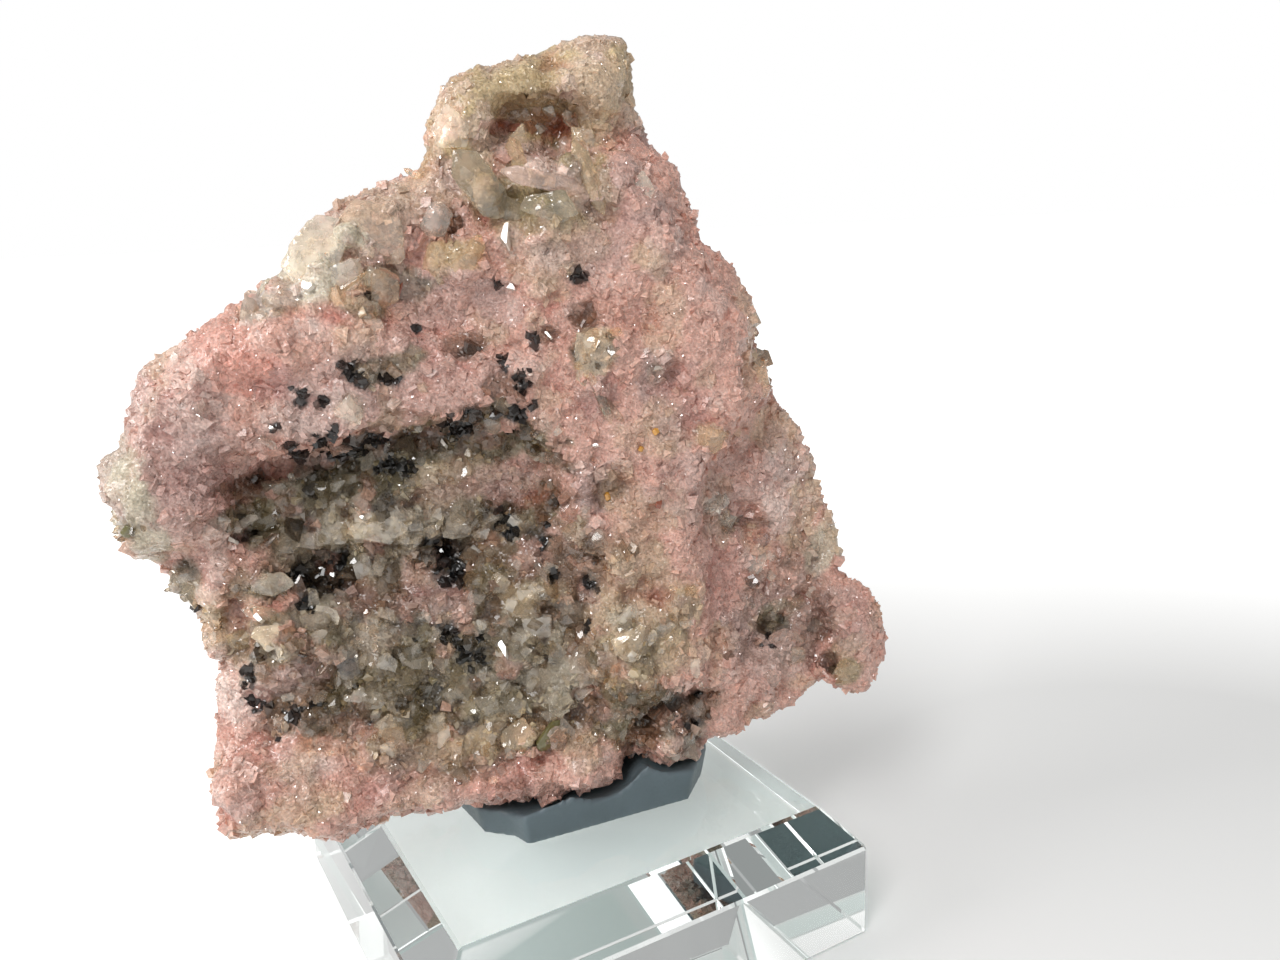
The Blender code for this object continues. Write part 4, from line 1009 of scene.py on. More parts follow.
def bed_tones(places, creases, quartz):
    """Colours of the bed, with painted shade in the creases between its lobes, most of all in quartz, and
    painted shade over the quartz as a whole.
    """
    crease = (1.0 - smoothstep(-0.30, 0.30, creases))[:, None]
    crease_shade = CREASE_SHADE + (QUARTZ_CREASE_SHADE - CREASE_SHADE) * quartz[:, None]
    return painted(places) * (1.0 - crease * crease_shade) * (1.0 - QUARTZ_SHADE * quartz[:, None])


def make_bed():
    """The stone's own surface, finely meshed, with its lobes and facets."""
    bed = object_from("stone_bed", copy_node("rhodochrosite_rock"), stone)
    mesh = smooth_voxels(bed, BED_VOXEL, SMOOTH_PASSES)
    divide_front(mesh)
    places, normals = vertex_array(mesh), normal_array(mesh)
    patches = patch_layers(places, patch_wander(places))
    quartz, massive = family_share(patches, "quartz"), family_share(patches, "mass")
    round_parts = bed_lobes(places, quartz, massive)
    fine_parts = 0.14 * facets(places, 0.0010, 81) + 0.13 * facets(places, 0.0006, 91)
    swell = 0.35 * rough_noise(places, 0.005, 71, 2) - DARK_DEPTH * dark_share(places)
    places += normals * (swell + round_parts + fine_parts - BED_SINK)[:, None] * MM
    mesh.vertices.foreach_set("co", places.ravel())
    mesh.shade_smooth()
    mesh.update()
    set_tones(mesh, bed_tones(places, round_parts + 0.5 * fine_parts, quartz))
    thin_out(bed, BED_FACES)
    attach(bed, "root")
    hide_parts("rhodochrosite_rock")
    return bed


bed = make_bed()
print("bed faces:", len(bed.data.polygons))

# %% [markdown]
# ## Grain shapes
#
# A grain is a small convex chunk with flat faces: a slightly squashed rhomb for rhodochrosite,
# which cleaves that way, and a blocky chip cut by nine planes for quartz. A few dozen different
# shapes are made once and then placed thousands of times, turned and stretched at random.

# %% Grain templates


def taken_from(bm):
    """The (vertices, triangles) of an edit mesh, which is let go."""
    bm.verts.index_update()
    shape = (np.array([v.co[:] for v in bm.verts]),
             np.array([[v.index for v in f.verts] for f in bm.faces]))
    bm.free()
    return shape


def hull_shape(cloud):
    """The convex hull of some points, as (vertices, triangles)."""
    bm = bmesh.new()
    verts = [bm.verts.new(p) for p in cloud]
    bmesh.ops.convex_hull(bm, input=verts)
    bmesh.ops.delete(bm, geom=[v for v in bm.verts if not v.link_faces], context="VERTS")
    bmesh.ops.triangulate(bm, faces=bm.faces)
    bmesh.ops.recalc_face_normals(bm, faces=bm.faces)
    return taken_from(bm)


def rhomb_shapes(count, rng):
    """Uneven rhombs: cubes that lean over, with each corner moved a little."""
    shapes = []
    for _ in range(count):
        cube = np.array(list(itertools.product((-0.55, 0.55), repeat=3)))
        cube[:, 0] += 0.35 * cube[:, 2]
        shapes.append(hull_shape(cube + rng.uniform(-0.16, 0.16, cube.shape)))
    return shapes


def lump_shapes(count, corners, rng):
    """Roundish chunks with flat faces."""
    shapes = []
    for _ in range(count):
        cloud = unit(rng.normal(size=(corners, 3)))
        shapes.append(hull_shape(cloud * rng.uniform(0.75, 1.0, (corners, 1)) * 0.75))
    return shapes


def scattered_directions(count, rng):
    """Directions spread over the whole sphere without large gaps."""
    k = np.arange(count) + 0.5
    polar, turn = np.arccos(1.0 - 2.0 * k / count), math.pi * (1.0 + 5.0**0.5) * k
    ways = np.stack([np.cos(turn) * np.sin(polar), np.sin(turn) * np.sin(polar), np.cos(polar)], axis=1)
    return unit(ways + rng.normal(size=ways.shape) * 0.22)


def cut_shape(planes, distances):
    """The body inside some planes: its corners are where three of them meet."""
    corners = []
    for trio in map(list, itertools.combinations(range(len(planes)), 3)):
        if abs(np.linalg.det(planes[trio])) > 0.05:
            corner = np.linalg.solve(planes[trio], distances[trio])
            if (planes @ corner <= distances + 1e-6).all():
                corners.append(corner)
    return hull_shape(np.array(corners))


def chip_shapes(count, sides, rng):
    """Blocky chips with a few flat faces."""
    return [cut_shape(scattered_directions(sides, rng), rng.uniform(0.30, 0.48, sides))
            for _ in range(count)]


def tablet_shapes(count, rng):
    """Little blocks with a flat top and uneven sides."""
    shapes = []
    for _ in range(count):
        angles = np.sort(rng.uniform(0, math.tau, 6))
        top = np.stack([0.4 * np.cos(angles), 0.4 * np.sin(angles), 0 * angles + 0.45], axis=1)
        shapes.append(hull_shape(np.concatenate([top, top * (1.25, 1.25, -1.0)])))
    return shapes


def prism_shapes(count, rng):
    """Six-sided quartz prisms with an uneven pointed end, one unit wide and standing on z = 0."""
    shapes = []
    for _ in range(count):
        length = rng.uniform(1.1, 1.9)
        cloud = []
        for k in range(6):
            angle = math.tau * k / 6 + rng.uniform(-0.12, 0.12)
            reach = 0.5 * rng.uniform(0.8, 1.05)
            side = (reach * math.cos(angle), reach * math.sin(angle))
            cloud.append((*side, -0.6))
            cloud.append((*side, length - 0.45 + rng.uniform(-0.12, 0.12)))
        cloud.append((rng.uniform(-0.12, 0.12), rng.uniform(-0.12, 0.12), length))
        shapes.append(hull_shape(np.array(cloud)))
    return shapes


shape_rng = np.random.default_rng(2024)
RHOMBS = rhomb_shapes(24, shape_rng)
GRAINS = RHOMBS[:12] + lump_shapes(12, 6, shape_rng)
CHIPS = chip_shapes(24, 9, shape_rng)
PRISMS = prism_shapes(24, shape_rng)
TABLETS = tablet_shapes(12, shape_rng)
print("faces of a rhomb, a chip, a prism:", len(RHOMBS[0][1]), len(CHIPS[0][1]), len(PRISMS[0][1]))

# %% [markdown]
# ## Sowing the grains
#
# Places are drawn at random all over the bed, and only one is kept in each small cube of space, so
# that grains sit about evenly, as they do where they have grown against each other. The front is
# sown more finely than the back.

# %% Sample places on the bed


def triangle_arrays(mesh):
    """Corner places of every triangle of a mesh."""
    mesh.calc_loop_triangles()
    corners = np.empty(len(mesh.loop_triangles) * 3, dtype=np.int64)
    mesh.loop_triangles.foreach_get("vertices", corners)
    return vertex_array(mesh)[corners.reshape(-1, 3)]


def sow(mesh, spacing, rng):
    """Places and normals on a mesh, about one in each cube of the given spacing."""
    tri = triangle_arrays(mesh)
    cross = np.cross(tri[:, 1] - tri[:, 0], tri[:, 2] - tri[:, 0])
    area = 0.5 * np.linalg.norm(cross, axis=1)
    tries = int(4.0 * area.sum() / spacing**2)
    pick = rng.choice(len(tri), size=tries, p=area / area.sum())
    u, v = rng.random(tries), rng.random(tries)
    flip = u + v > 1.0
    u[flip], v[flip] = 1.0 - u[flip], 1.0 - v[flip]
    t = tri[pick]
    places = t[:, 0] + u[:, None] * (t[:, 1] - t[:, 0]) + v[:, None] * (t[:, 2] - t[:, 0])
    normals = cross[pick] / (2.0 * area[pick][:, None])
    cells = np.floor(places / spacing).astype(np.int64)
    _, first = np.unique(cells, axis=0, return_index=True)
    first.sort()
    return places[first], normals[first]


def sow_side(front, spacing, seed):
    """Sown places on the display side or on the back."""
    places, normals = sow(bed.data, spacing * MM, np.random.default_rng(seed))
    keep = (depth_behind(places) < FRONT_DEPTH) == front
    return places[keep], normals[keep]


# side of the stone: (is it the front, spacing of the grains in millimetres, random seed)
SOWING = {"front": (True, 0.46, 77), "back": (False, 0.95, 78)}
SIDES = {side: (sow_side(*row), row[1]) for side, row in SOWING.items()}
for side, ((places, normals), spacing) in SIDES.items():
    print(side, "has", len(places), "places, every", spacing, "mm")

# %% Turn grains into meshes
MOST_GRAINS = 14000
OWN_COLOR = 0.2


def random_turns(count, rng):
    """Uniformly random rotation matrices."""
    w, x, y, z = unit(rng.normal(size=(count, 4))).T
    return np.stack([
        1 - 2 * (y * y + z * z), 2 * (x * y - z * w), 2 * (x * z + y * w),
        2 * (x * y + z * w), 1 - 2 * (x * x + z * z), 2 * (y * z - x * w),
        2 * (x * z - y * w), 2 * (y * z + x * w), 1 - 2 * (x * x + y * y)], axis=1).reshape(-1, 3, 3)


def aimed_turns(directions, rng):
    """Rotations that carry +Z to each direction, with a random spin."""
    z = unit(directions)
    x = unit(np.cross(rng.normal(size=z.shape), z))
    return np.stack([x, np.cross(z, x), z], axis=2)


def grain_mesh(name, shapes, turns, sizes, places, tones, rng):
    """One mesh of many grains: each picks a shape and is stretched, turned and put in its place."""
    choice = rng.integers(len(shapes), size=len(places))
    all_verts, all_faces, all_tones, start = [], [], [], 0
    for k, (verts, faces) in enumerate(shapes):
        mine = np.flatnonzero(choice == k)
        if not len(mine):
            continue
        local = verts[None] * sizes[mine][:, None]
        moved = np.einsum("nij,nvj->nvi", turns[mine], local) + places[mine][:, None]
        all_verts.append(moved.reshape(-1, 3))
        offsets = start + len(verts) * np.arange(len(mine))
        all_faces.append((faces[None] + offsets[:, None, None]).reshape(-1, 3))
        all_tones.append(np.repeat(tones[mine], len(verts), axis=0))
        start += len(verts) * len(mine)
    verts, faces = np.concatenate(all_verts), np.concatenate(all_faces)
    mesh = bpy.data.meshes.new(name)
    mesh.vertices.add(len(verts))
    mesh.vertices.foreach_set("co", verts.ravel())
    mesh.loops.add(faces.size)
    mesh.loops.foreach_set("vertex_index", faces.ravel())
    mesh.polygons.add(len(faces))
    mesh.polygons.foreach_set("loop_start", np.arange(0, faces.size, 3))
    mesh.update(calc_edges=True)
    mesh.shade_flat()
    set_tones(mesh, np.concatenate(all_tones))
    return mesh


def add_piece(name, mesh, mat):
    """Puts a finished mesh on the stone."""
    obj = object_from(name, mesh, mat)
    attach(obj, "root")
    print(name, "has", len(mesh.polygons), "faces")


def grain_tones(minerals, around, rng):
    """Each grain's own colour: between its mineral's and the bed's, a little lighter or darker."""
    base = np.array([MINERALS[name][0] for name in NAMES])[minerals]
    swing = np.array([MINERALS[name][1] for name in NAMES])[minerals]
    base = OWN_COLOR * base + (1.0 - OWN_COLOR) * around
    return base * np.exp(rng.normal(size=len(minerals)) * swing)[:, None]


def in_family(minerals, family):
    """Which grains belong to a family: sugar, quartz or black."""
    return np.array([MINERALS[name][2] == family for name in NAMES])[minerals]


print("a piece holds up to", MOST_GRAINS, "grains")

# %% Sow sugar, fine quartz and sphalerite
SUNK = {"sugar": (0.45, 0.68), "quartz": (0.3, 0.55), "black": (0.1, 0.4)}
# family: (shapes, material, width as a share of the spacing, share of the places)
FAMILIES = {
    "sugar": (GRAINS, sugar, 1.5, 0.3),
    "quartz": (CHIPS, milky, 1.6, 0.14),
    "black": (RHOMBS, blende, 1.1, 0.7),
}


SIDE_MINERALS = {}
for side, ((places, _), _) in SIDES.items():
    layers = paint_layers(places)
    SIDE_MINERALS[side] = pick_minerals(layers, np.random.default_rng(5)), painted(places, layers)


def sow_family(side, family, seed):
    """All grains of one family on one side, half sunk in the bed."""
    (places, normals), spacing = SIDES[side]
    shapes, mat, share, density = FAMILIES[family]
    rng = np.random.default_rng(seed)
    minerals, around = SIDE_MINERALS[side]
    keep = in_family(minerals, family) & (rng.random(len(minerals)) < density)
    places, normals, minerals, around = places[keep], normals[keep], minerals[keep], around[keep]
    count, width = len(places), share * spacing * MM
    sizes = width * rng.uniform(0.7, 1.3, (count, 1)) * rng.uniform(0.8, 1.25, (count, 3))
    places = places - normals * rng.uniform(*SUNK[family], (count, 1)) * width
    turns, tones = random_turns(count, rng), grain_tones(minerals, around, rng)
    order = np.argsort(places[:, 0])
    for k, part in enumerate(np.array_split(order, math.ceil(count / MOST_GRAINS))):
        name = f"{family}_{side}_{k}"
        grains = grain_mesh(name, shapes, turns[part], sizes[part], places[part], tones[part], rng)
        add_piece(name, grains, mat)


for seed, (side, family) in enumerate(itertools.product(SIDES, FAMILIES)):
    sow_family(side, family, 100 + seed)

# %% [markdown]
# ## Larger crystals
#
# Quartz also grows as lumps and prisms of one to three millimetres, which catch the eye. Their
# faces are flat, with edges just soft enough to catch light. Such a shape is easy to write down: a
# crystal is what lies inside a few planes, so its surface, seen from its centre, is the nearest
# plane in every direction. A soft minimum rounds the edges.

# %% Crystals from planes


def fine_ball(rounds):
    """Directions and triangles of a ball, from an icosahedron divided a few times."""
    bm = bmesh.new()
    bmesh.ops.create_icosphere(bm, subdivisions=rounds, radius=1.0)
    return taken_from(bm)


BALL, BALL_FACES = fine_ball(4)
RELIEF, RELIEF_SIZE = 0.03, 0.5


def planes_shape(planes, distances, edge):
    """The body inside some planes, with softened edges; a higher edge value is sharper."""
    facing = np.clip(BALL @ planes.T, 0.02, None)
    inverse = facing / distances
    reach = (inverse**edge).sum(axis=1) ** (-1.0 / edge)
    reach = reach * (1.0 + RELIEF * facets(BALL, RELIEF_SIZE, len(planes)))
    return BALL * reach[:, None], BALL_FACES


def cut_lumps(count, rng):
    """Blocky crystals with ten flat faces, one unit across."""
    return [planes_shape(scattered_directions(10, rng), rng.uniform(0.32, 0.52, 10), 70.0)
            for _ in range(count)]


def cut_prisms(count, rng):
    """Six-sided prisms pointed at both ends, one unit wide and about twice as long."""
    shapes = []
    for _ in range(count):
        turns = math.tau * np.arange(6) / 6
        lean = math.radians(38)
        sides = np.stack([np.cos(turns), np.sin(turns), 0 * turns], axis=1)
        tips = np.stack([np.cos(turns) * math.cos(lean), np.sin(turns) * math.cos(lean),
                         0 * turns + math.sin(lean)], axis=1)
        planes = np.concatenate([sides, tips, tips * (1, 1, -1)])
        distances = np.concatenate([rng.uniform(0.40, 0.50, 6), rng.uniform(0.80, 0.95, 12)])
        shapes.append(planes_shape(planes, distances, 40.0))
    return shapes


crystal_rng = np.random.default_rng(41)
BIG_LUMPS = cut_lumps(8, crystal_rng)
BIG_PRISMS = cut_prisms(6, crystal_rng)
print("a large crystal has", len(BALL_FACES), "faces")

# %% Where the large crystals sit
# lumps: mineral, place (x, z) on the display face, width, height, depth out of the stone, turn in
# degrees
PLACED_LUMPS = (
    ("white", -18.6, 77.8, 5.6, 5.0, 3.4, 25), ("white", -16.6, 75.7, 4.4, 3.0, 2.4, 10),
    ("tan", -13.6, 80.6, 5.6, 4.6, 2.8, 20), ("cream", -7.5, 77.4, 3.2, 2.8, 2.4, -15),
    ("cream", -5.2, 76.7, 3.4, 3.2, 2.6, 0), ("cream", -5.4, 88.8, 3.6, 4.6, 2.6, 20),
    ("green", 3.4, 81.4, 5.6, 3.4, 2.2, -8),
    ("tan", 0.8, 90.2, 1.9, 1.6, 1.4, 20), ("cream", 3.4, 90.4, 1.6, 1.3, 1.2, -10),
    ("tan", 5.4, 89.9, 1.8, 1.4, 1.2, 30), ("cream", 2.2, 88.6, 1.4, 1.2, 1.2, 0),
    ("cream", 0.6, 87.6, 1.6, 2.4, 1.4, 10), ("cream", 6.6, 87.6, 2.4, 2.2, 1.4, 0),
    ("cream", -14.2, 73.2, 1.9, 1.6, 1.2, 0), ("grey", -13.6, 75.7, 2.0, 2.2, 1.4, 30),
    ("pale", 11.4, 86.4, 2.4, 3.0, 1.2, 20), ("pale", 12.0, 82.8, 2.8, 3.4, 1.2, 10),
    ("cream", -17.2, 63.4, 2.4, 3.0, 1.6, 10), ("cream", 6.4, 67.1, 4.2, 4.6, 1.6, -25),
    ("tan", 18.3, 57.3, 3.4, 2.2, 1.6, -20), ("grey", -24.3, 56.2, 2.6, 2.2, 1.4, 10),
    ("grey", -26.9, 53.4, 2.8, 1.8, 1.2, 10), ("grey", -26.3, 46.8, 3.0, 2.4, 1.6, 0),
    ("white", -17.2, 47.3, 2.2, 2.6, 1.6, 0), ("cream", -13.2, 52.4, 2.6, 2.0, 1.4, 0),
    ("grey", -19.6, 51.4, 4.2, 3.2, 1.6, 10), ("grey", -15.8, 51.0, 3.8, 2.6, 1.6, -10),
    ("white", -6.6, 47.2, 2.4, 2.8, 1.6, 20), ("cream", -4.6, 43.9, 3.0, 2.6, 1.8, 0),
    ("cream", -1.8, 41.6, 2.2, 3.0, 1.6, -15), ("grey", -1.0, 38.8, 3.4, 2.6, 1.6, 0),
    ("cream", -26.5, 41.6, 3.4, 2.6, 1.6, 0), ("grey", -22.4, 41.8, 3.6, 2.8, 1.6, 10),
    ("cream", -29.6, 41.6, 2.6, 2.4, 1.4, 0), ("white", -16.4, 37.0, 2.2, 2.2, 1.4, 0),
    ("grey", -13.7, 37.4, 2.6, 2.2, 1.6, 10), ("cream", -16.6, 28.9, 4.0, 4.0, 1.8, 12),
    ("white", -2.0, 32.9, 3.0, 2.6, 1.8, 0), ("grey", -6.7, 30.4, 3.2, 2.8, 1.8, 0),
    ("cream", -7.8, 26.7, 4.0, 3.0, 2.0, 10), ("cream", -3.6, 26.2, 3.8, 4.0, 2.2, 0),
    ("green", 0.7, 29.6, 2.2, 2.2, 1.4, 0), ("white", 3.0, 30.2, 2.2, 1.8, 1.4, 0),
    ("white", 8.6, 37.9, 3.0, 2.8, 1.6, 0), ("cream", 8.6, 34.6, 3.2, 3.0, 1.6, 0),
    ("white", 15.5, 31.4, 1.9, 2.2, 1.4, 0), ("cream", 33.8, 27.6, 3.2, 2.4, 1.6, 30),
    ("cream", 31.0, 44.6, 2.8, 3.4, 1.4, 0), ("mauve", 25.6, 32.6, 2.4, 2.2, 1.6, 0),
    ("mauve", 28.4, 35.2, 2.8, 2.6, 1.6, 0), ("mauve", 23.4, 44.7, 1.8, 1.9, 1.2, 0),
    ("tan", 27.4, 30.4, 3.0, 2.6, 1.6, 0), ("mauve", 24.6, 28.0, 2.6, 2.4, 1.4, 0),
    ("pale", 22.6, 42.2, 2.4, 3.4, 1.2, 0), ("grey", -9.8, 32.6, 3.0, 2.4, 1.4, 0),
    ("grey", -19.4, 33.8, 2.6, 2.0, 1.4, 0), ("cream", -12.2, 29.6, 2.8, 2.4, 1.4, 0),
)
# the same, for broad translucent blades under the cap
PLACED_BLADES = (
    ("grey", -3.5, 83.9, 3.4, 2.8, 2.4, 35), ("pale", 2.3, 83.9, 1.8, 3.1, 1.6, 76),
    ("cream", 6.8, 84.1, 1.7, 2.8, 1.5, 19), ("white", -7.6, 80.8, 2.6, 1.3, 2.2, -20),
    ("tan", -12.8, 74.8, 2.8, 1.4, 2.0, -5), ("cream", 0.0, 86.4, 1.6, 1.3, 1.6, 10),
    ("green", -0.6, 81.2, 2.2, 1.9, 1.8, 60), ("pale", 4.6, 86.6, 1.4, 1.1, 1.4, -20),
)
# the same, for clear pointed prisms
PLACED_PRISMS = (
    ("white", -20.0, 37.9, 2.4, 1.7, 1.8, -5), ("white", -27.2, 44.4, 1.2, 1.3, 1.2, 70),
    ("white", -26.6, 43.9, 1.0, 1.4, 1.0, 62), ("white", -22.4, 45.2, 1.3, 0.8, 1.2, 10),
    ("white", -27.0, 31.9, 0.8, 1.2, 0.8, -4), ("white", -10.9, 59.1, 0.8, 0.9, 0.8, -20),
    ("white", -14.9, 75.4, 0.5, 2.2, 0.5, -50), ("cream", -16.4, 75.0, 0.6, 2.0, 0.6, -60),
    ("white", -17.0, 52.8, 0.5, 1.0, 0.5, 30), ("white", -2.0, 41.4, 0.9, 1.1, 0.8, -30),
    ("grey", 6.8, 62.4, 0.9, 2.4, 0.9, 35), ("grey", 7.6, 61.6, 0.8, 1.9, 0.8, 35),
    ("white", -24.6, 61.2, 0.7, 0.9, 0.7, 50), ("white", -20.2, 35.8, 0.7, 0.7, 0.7, 20),
    ("cream", -5.0, 86.0, 0.7, 1.6, 0.7, 30), ("white", -9.0, 84.8, 0.6, 1.0, 0.6, 60),
    ("white", 19.6, 48.4, 0.6, 1.1, 0.6, 20), ("white", 18.6, 49.8, 0.8, 1.0, 0.8, -40),
)
# small odd crystals that grow on the quartz: an olive blade, a rusty needle, golden specks
PLACED_ODD = (
    ("olive", -0.6, 25.9, 1.9, 1.5, 0.8, -38), ("rust", -12.2, 75.9, 0.3, 0.8, 0.3, 60),
    ("rust", -11.5, 74.3, 0.3, 0.8, 0.3, -16), ("gold", 12.3, 58.4, 0.7, 0.3, 0.6, 20),
    ("gold", 10.7, 56.7, 0.6, 0.25, 0.5, -30), ("gold", 7.0, 52.0, 0.6, 0.4, 0.5, 10),
    ("rust", 12.3, 50.5, 1.0, 0.3, 0.5, 80), ("olive", -37.4, 54.0, 1.0, 0.5, 0.6, -40),
)
print(len(PLACED_LUMPS + PLACED_BLADES + PLACED_PRISMS + PLACED_ODD), "crystals placed by hand")

# %% Set the large crystals
MILKY_SHARE = 0.3
WARM_WHITE = np.array((1.0, 0.93, 0.82))
FACE_OUT = np.array((FACE_SLOPE, -1.0, 0.0)) / math.hypot(FACE_SLOPE, 1.0)
FACE_RIGHT = np.array((1.0, FACE_SLOPE, 0.0)) / math.hypot(FACE_SLOPE, 1.0)
bed_tree = BVHTree.FromPolygons(vertex_array(bed.data).tolist(),
                                [p.vertices[:] for p in bed.data.polygons])


def on_stone(x, z):
    """The place on the bed that the camera sees behind (x, z) on the display face, and its normal."""
    target = Vector((x, FACE_Y + FACE_SLOPE * x, z)) * MM
    place, normal, _, _ = bed_tree.ray_cast(CAMERA_PLACE, target - CAMERA_PLACE)
    if place is None:
        place, normal, _, _ = bed_tree.find_nearest(target)
    return np.array(place), np.array(normal)


def face_turn(degrees, long_up):
    """Axes of a crystal that lies on the face: its width, its depth or height, and the third."""
    c, s = math.cos(math.radians(degrees)), math.sin(math.radians(degrees))
    across = c * FACE_RIGHT + s * np.array((0.0, 0.0, 1.0))
    along = -s * FACE_RIGHT + c * np.array((0.0, 0.0, 1.0))
    return np.stack([across, -FACE_OUT, along] if long_up else [across, along, FACE_OUT], axis=1)


def whitened(tones):
    """Clear crystals take most of their colour from the stone behind, and have little of their own."""
    rng = np.random.default_rng(len(tones))
    clearness = np.where(rng.random(len(tones)) < MILKY_SHARE, 0.95, rng.uniform(0.0, 0.65, len(tones)))
    clearness *= np.clip(3.0 * tones.mean(axis=1) - 0.1, 0.0, 1.0)
    return tones + (WARM_WHITE - tones) * clearness[:, None]


def small_turns(count, spread, rng):
    """Rotations by a small random angle."""
    return np.array([Matrix.Rotation(a, 3, Vector(w)) for a, w in
                     zip(rng.normal(size=count) * spread, rng.normal(size=(count, 3)))])


def placed_crystals(name, rows, shapes, mat, long_up, rng, lift):
    """One mesh of hand-placed crystals, each lifted out of the stone by a share of its depth."""
    spots = [on_stone(x, z) for _, x, z, *_ in rows]
    places = np.array([place + lift * row[5] * MM * FACE_OUT for (place, _), row in zip(spots, rows)])
    tones = np.array([MINERALS[row[0]][0] for row in rows])
    tones = tones if mat is odd else whitened(tones)
    sizes = np.array([row[3:6] for row in rows]) * MM
    if long_up:
        sizes = sizes[:, (0, 2, 1)]
    turns = np.array([face_turn(row[6], long_up) for row in rows])
    turns = turns @ small_turns(len(rows), 0.16, rng)
    add_piece(name, grain_mesh(name, shapes, turns, sizes, places, tones, rng), mat)


placed_crystals("quartz_lumps", PLACED_LUMPS, BIG_LUMPS, glassy, False, np.random.default_rng(8), -0.22)
placed_crystals("quartz_blades", PLACED_BLADES, BIG_PRISMS, glassy, True, np.random.default_rng(7), 0.1)
placed_crystals("quartz_prisms", PLACED_PRISMS, BIG_PRISMS, clear, True, np.random.default_rng(9), 0.3)
placed_crystals("odd_crystals", PLACED_ODD, BIG_PRISMS, odd, True, np.random.default_rng(10), 0.3)

# %% [markdown]
# ## Glints and scattered crystals
#
# A few small faces always happen to mirror the lamp into the eye, and they give the stone its
# sparkle. A face does that when it looks halfway between the way to the eye and the way to the lamp,
# so each glint is turned to that direction. Many small crystals then fill the quartz between the
# placed ones. They are sown at random, each near upright on the surface.

# %% Glints
MANY_GLINTS = 1500
AIM_SPREAD = 0.015
LARGE_GLINT = 1.2 * MM
# bright polished faces: place (x, z) on the display face, and width
PLACED_GLINTS = (
    (-1.2, 79.0, 1.9), (-4.7, 36.6, 1.7), (-1.2, 74.0, 0.7), (2.0, 69.3, 0.7), (-28.7, 51.9, 0.7),
    (-8.7, 59.3, 0.8), (-17.0, 52.7, 0.7), (18.5, 49.0, 1.0), (-27.4, 43.8, 1.2), (-20.2, 47.2, 0.8),
    (-19.4, 75.4, 0.9), (-30.0, 64.0, 0.6), (-24.0, 62.4, 0.6), (6.0, 57.6, 0.6), (-12.0, 36.2, 0.8),
)


def add_glints(name, places, widths, tones, seed):
    """Small polished faces that happen to mirror the lamp to the camera."""
    rng = np.random.default_rng(seed)
    count = len(places)
    to_eye = unit(np.array(CAMERA_PLACE) - places)
    to_lamp = unit(np.array(LAMP) * MM - places)
    half = unit(to_eye + to_lamp) + rng.normal(size=places.shape) * AIM_SPREAD
    sizes = widths[:, None] * rng.uniform(0.5, 1.5, (count, 3))
    mesh = grain_mesh(name, TABLETS, aimed_turns(half, rng), sizes, places, tones, rng)
    add_piece(name, mesh, mirror)


glint_rng = np.random.default_rng(91)
sparse, _ = sow_side(True, 0.8, 91)
sparse = sparse[glint_rng.choice(len(sparse), MANY_GLINTS, replace=False)]
small = glint_rng.uniform(0.10, 0.30, MANY_GLINTS) * MM
add_glints("glints", sparse, small, painted(sparse), 92)
large = np.array([on_stone(x, z)[0] for x, z, _ in PLACED_GLINTS]) + 0.2 * MM * FACE_OUT
white = np.tile(MINERALS["white"][0], (len(large), 1))
wide = np.array([row[2] for row in PLACED_GLINTS]) * LARGE_GLINT
add_glints("large_glints", large, wide, white, 93)

# %% Scattered crystals


def scatter(name, shapes, mat, places, normals, widths, tones, rng, lift):
    """Crystals that stand out of the stone at random, each near its own upright."""
    count = len(places)
    ways = normals + 0.55 * rng.normal(size=normals.shape)
    sizes = widths[:, None] * rng.uniform(0.8, 1.2, (count, 3))
    lifted = places + normals * (lift * widths)[:, None]
    add_piece(name, grain_mesh(name, shapes, aimed_turns(ways, rng), sizes, lifted, tones, rng), mat)


def pick_places(front, spacing, family, share, seed):
    """Sparse sown places where a family grows, with their minerals."""
    rng = np.random.default_rng(seed)
    places, normals = sow_side(front, spacing, seed)
    layers = paint_layers(places)
    minerals = pick_minerals(layers, rng)
    keep = in_family(minerals, family) & (rng.random(len(places)) < share)
    tones = whitened(grain_tones(minerals, painted(places, layers), rng))
    return places[keep], normals[keep], tones[keep], rng


def scatter_quartz(name, front, spacing, share, low, high, shapes, mat, seed, lift):
    """Crystals of one size range over the quartz of one side, lifted by a share of their width."""
    places, normals, tones, rng = pick_places(front, spacing, "quartz", share, seed)
    widths = rng.uniform(low, high, len(places)) * MM
    scatter(name, shapes, mat, places, normals, widths, tones, rng, lift)


scatter_quartz("quartz_chunks", True, 1.2, 0.45, 0.8, 2.2, CHIPS, glassy, 11, lift=-0.15)
scatter_quartz("quartz_points", True, 1.2, 0.4, 0.4, 0.9, PRISMS, clear, 12, lift=-0.35)
scatter_quartz("quartz_chunks_back", False, 2.4, 0.6, 1.4, 2.8, CHIPS, glassy, 13, lift=-0.3)
scatter_quartz("quartz_points_back", False, 3.0, 0.4, 0.8, 1.3, PRISMS, clear, 14, lift=-0.9)

# %% [markdown]
# ## Glass block
#
# The block is clear glass with a faint green-blue cast. The solid's shape is right, so it keeps its
# own mesh and only gets a better material. Real glass lets every ray out in the end, but a renderer
# gives up on rays that stay inside for long and leaves black there. So a ray that is still inside
# after several turns goes straight on. Shadow rays go straight on too, dimmed, because the block
# casts a light shadow.

# %% Glass
LET_OUT_AFTER = 5.5
GLASS_COLOR = (0.965, 0.992, 0.984, 1.0)
GLASS_IOR = 1.52
LET_OUT_COLOR = (0.92, 0.97, 0.96, 1.0)
GLASS_SHADOW = (0.38, 0.45, 0.44, 1.0)


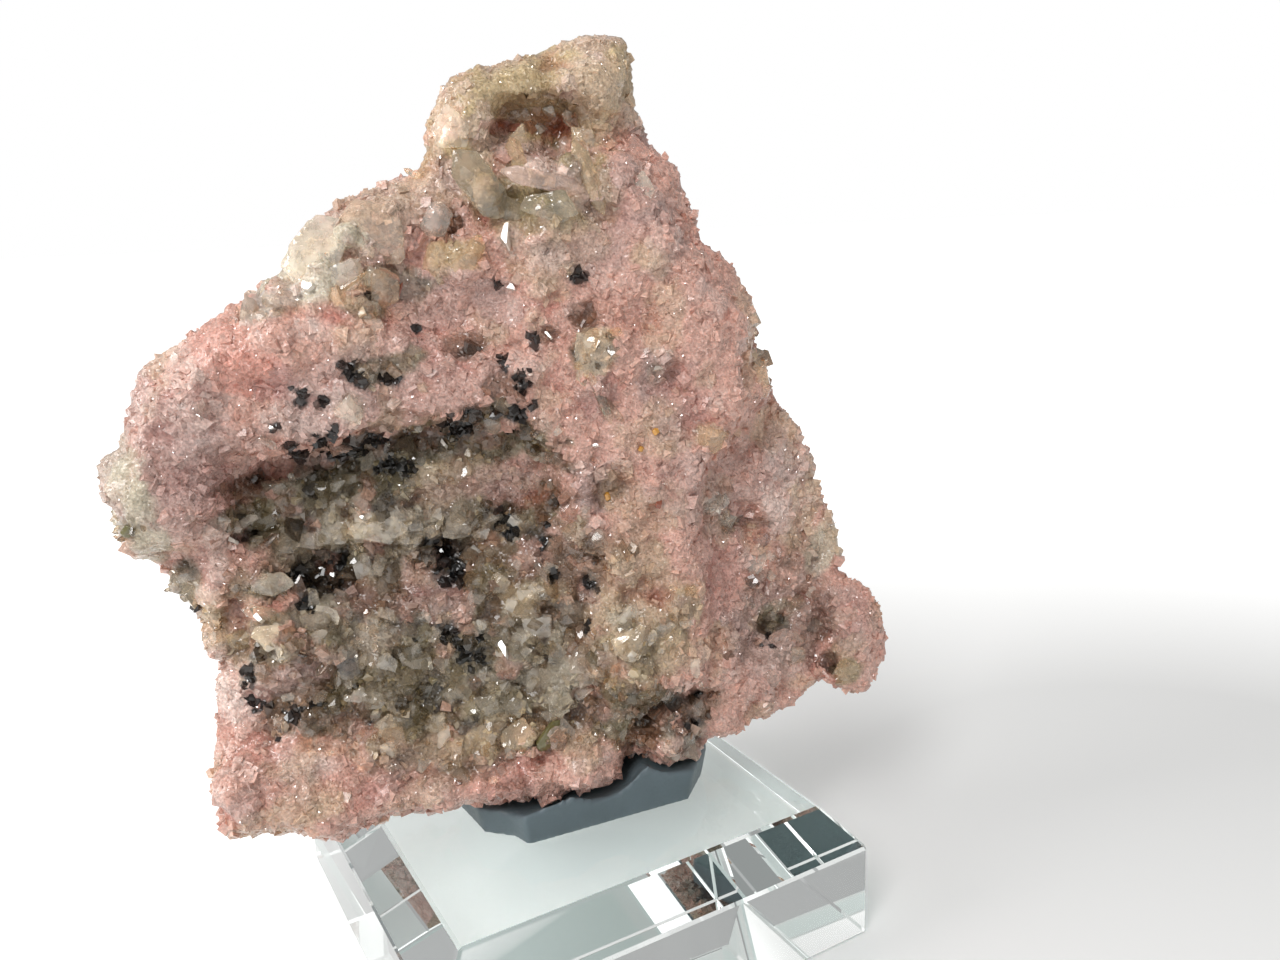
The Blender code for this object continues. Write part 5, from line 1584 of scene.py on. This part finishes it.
def make_glass():
    """Clear glass with a faint cast."""
    mat = bpy.data.materials.new("clear_glass")
    mat.use_nodes = True
    tree = mat.node_tree
    shader = tree.nodes["Principled BSDF"]
    shader.inputs["Base Color"].default_value = GLASS_COLOR
    shader.inputs["Roughness"].default_value = 0.0
    shader.inputs["Transmission Weight"].default_value = 1.0
    shader.inputs["IOR"].default_value = GLASS_IOR
    path = tree.nodes.new("ShaderNodeLightPath")
    trapped = math_node(tree, "GREATER_THAN", path.outputs["Ray Depth"], LET_OUT_AFTER)
    let_out = mix_in(tree, shader, trapped, LET_OUT_COLOR)
    final = mix_in(tree, let_out, path.outputs["Is Shadow Ray"], GLASS_SHADOW)
    tree.links.new(final.outputs[0], tree.nodes["Material Output"].inputs["Surface"])
    return mat


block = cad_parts["glass_block"]
block.data.materials.clear()
block.data.materials.append(make_glass())
print("glass bends light by", GLASS_IOR)

# %% [markdown]
# ## Putty
#
# The putty is soft, smooth and dull, with shallow dents from the fingers that pressed it. It gets an
# even mesh with eased edges, and soft noise pushes its upright sides in and out a little.

# %% Putty
PUTTY_COLOR = (0.125, 0.165, 0.185, 1.0)
PUTTY_VOXEL = 0.4 * MM
PUTTY_PASSES = 2
DENT = 0.12 * MM


def putty_material():
    """Dull blue-grey, a little uneven in colour, with fine pores."""
    mat = bpy.data.materials.new("mineral_putty")
    mat.use_nodes = True
    nodes, links = mat.node_tree.nodes, mat.node_tree.links
    shader = nodes["Principled BSDF"]
    cloud = nodes.new("ShaderNodeGroup")
    cloud.node_tree = CLOUDY
    cloud.inputs["Color"].default_value = PUTTY_COLOR
    cloud.inputs["Scale"].default_value, cloud.inputs["Amount"].default_value = 260.0, 0.25
    links.new(cloud.outputs["Color"], shader.inputs["Base Color"])
    pores = nodes.new("ShaderNodeGroup")
    pores.node_tree = BUMPY
    pores.inputs["Scale"].default_value, pores.inputs["Strength"].default_value = 3000.0, 0.08
    links.new(pores.outputs["Normal"], shader.inputs["Normal"])
    shader.inputs["Roughness"].default_value = 0.42
    return mat


def make_putty():
    """The wad of putty, with eased edges and shallow finger dents."""
    putty = object_from("putty_wad", copy_node("putty"), putty_material())
    mesh = smooth_voxels(putty, PUTTY_VOXEL, PUTTY_PASSES)
    places, normals = vertex_array(mesh), normal_array(mesh)
    upright = 1.0 - np.abs(normals[:, 2:])
    places += normals * upright * DENT * soft_noise(places, 0.005, 95)[:, None]
    mesh.vertices.foreach_set("co", places.ravel())
    mesh.shade_smooth()
    mesh.update()
    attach(putty, "root")
    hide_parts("putty")
    print("putty faces:", len(mesh.polygons))


make_putty()
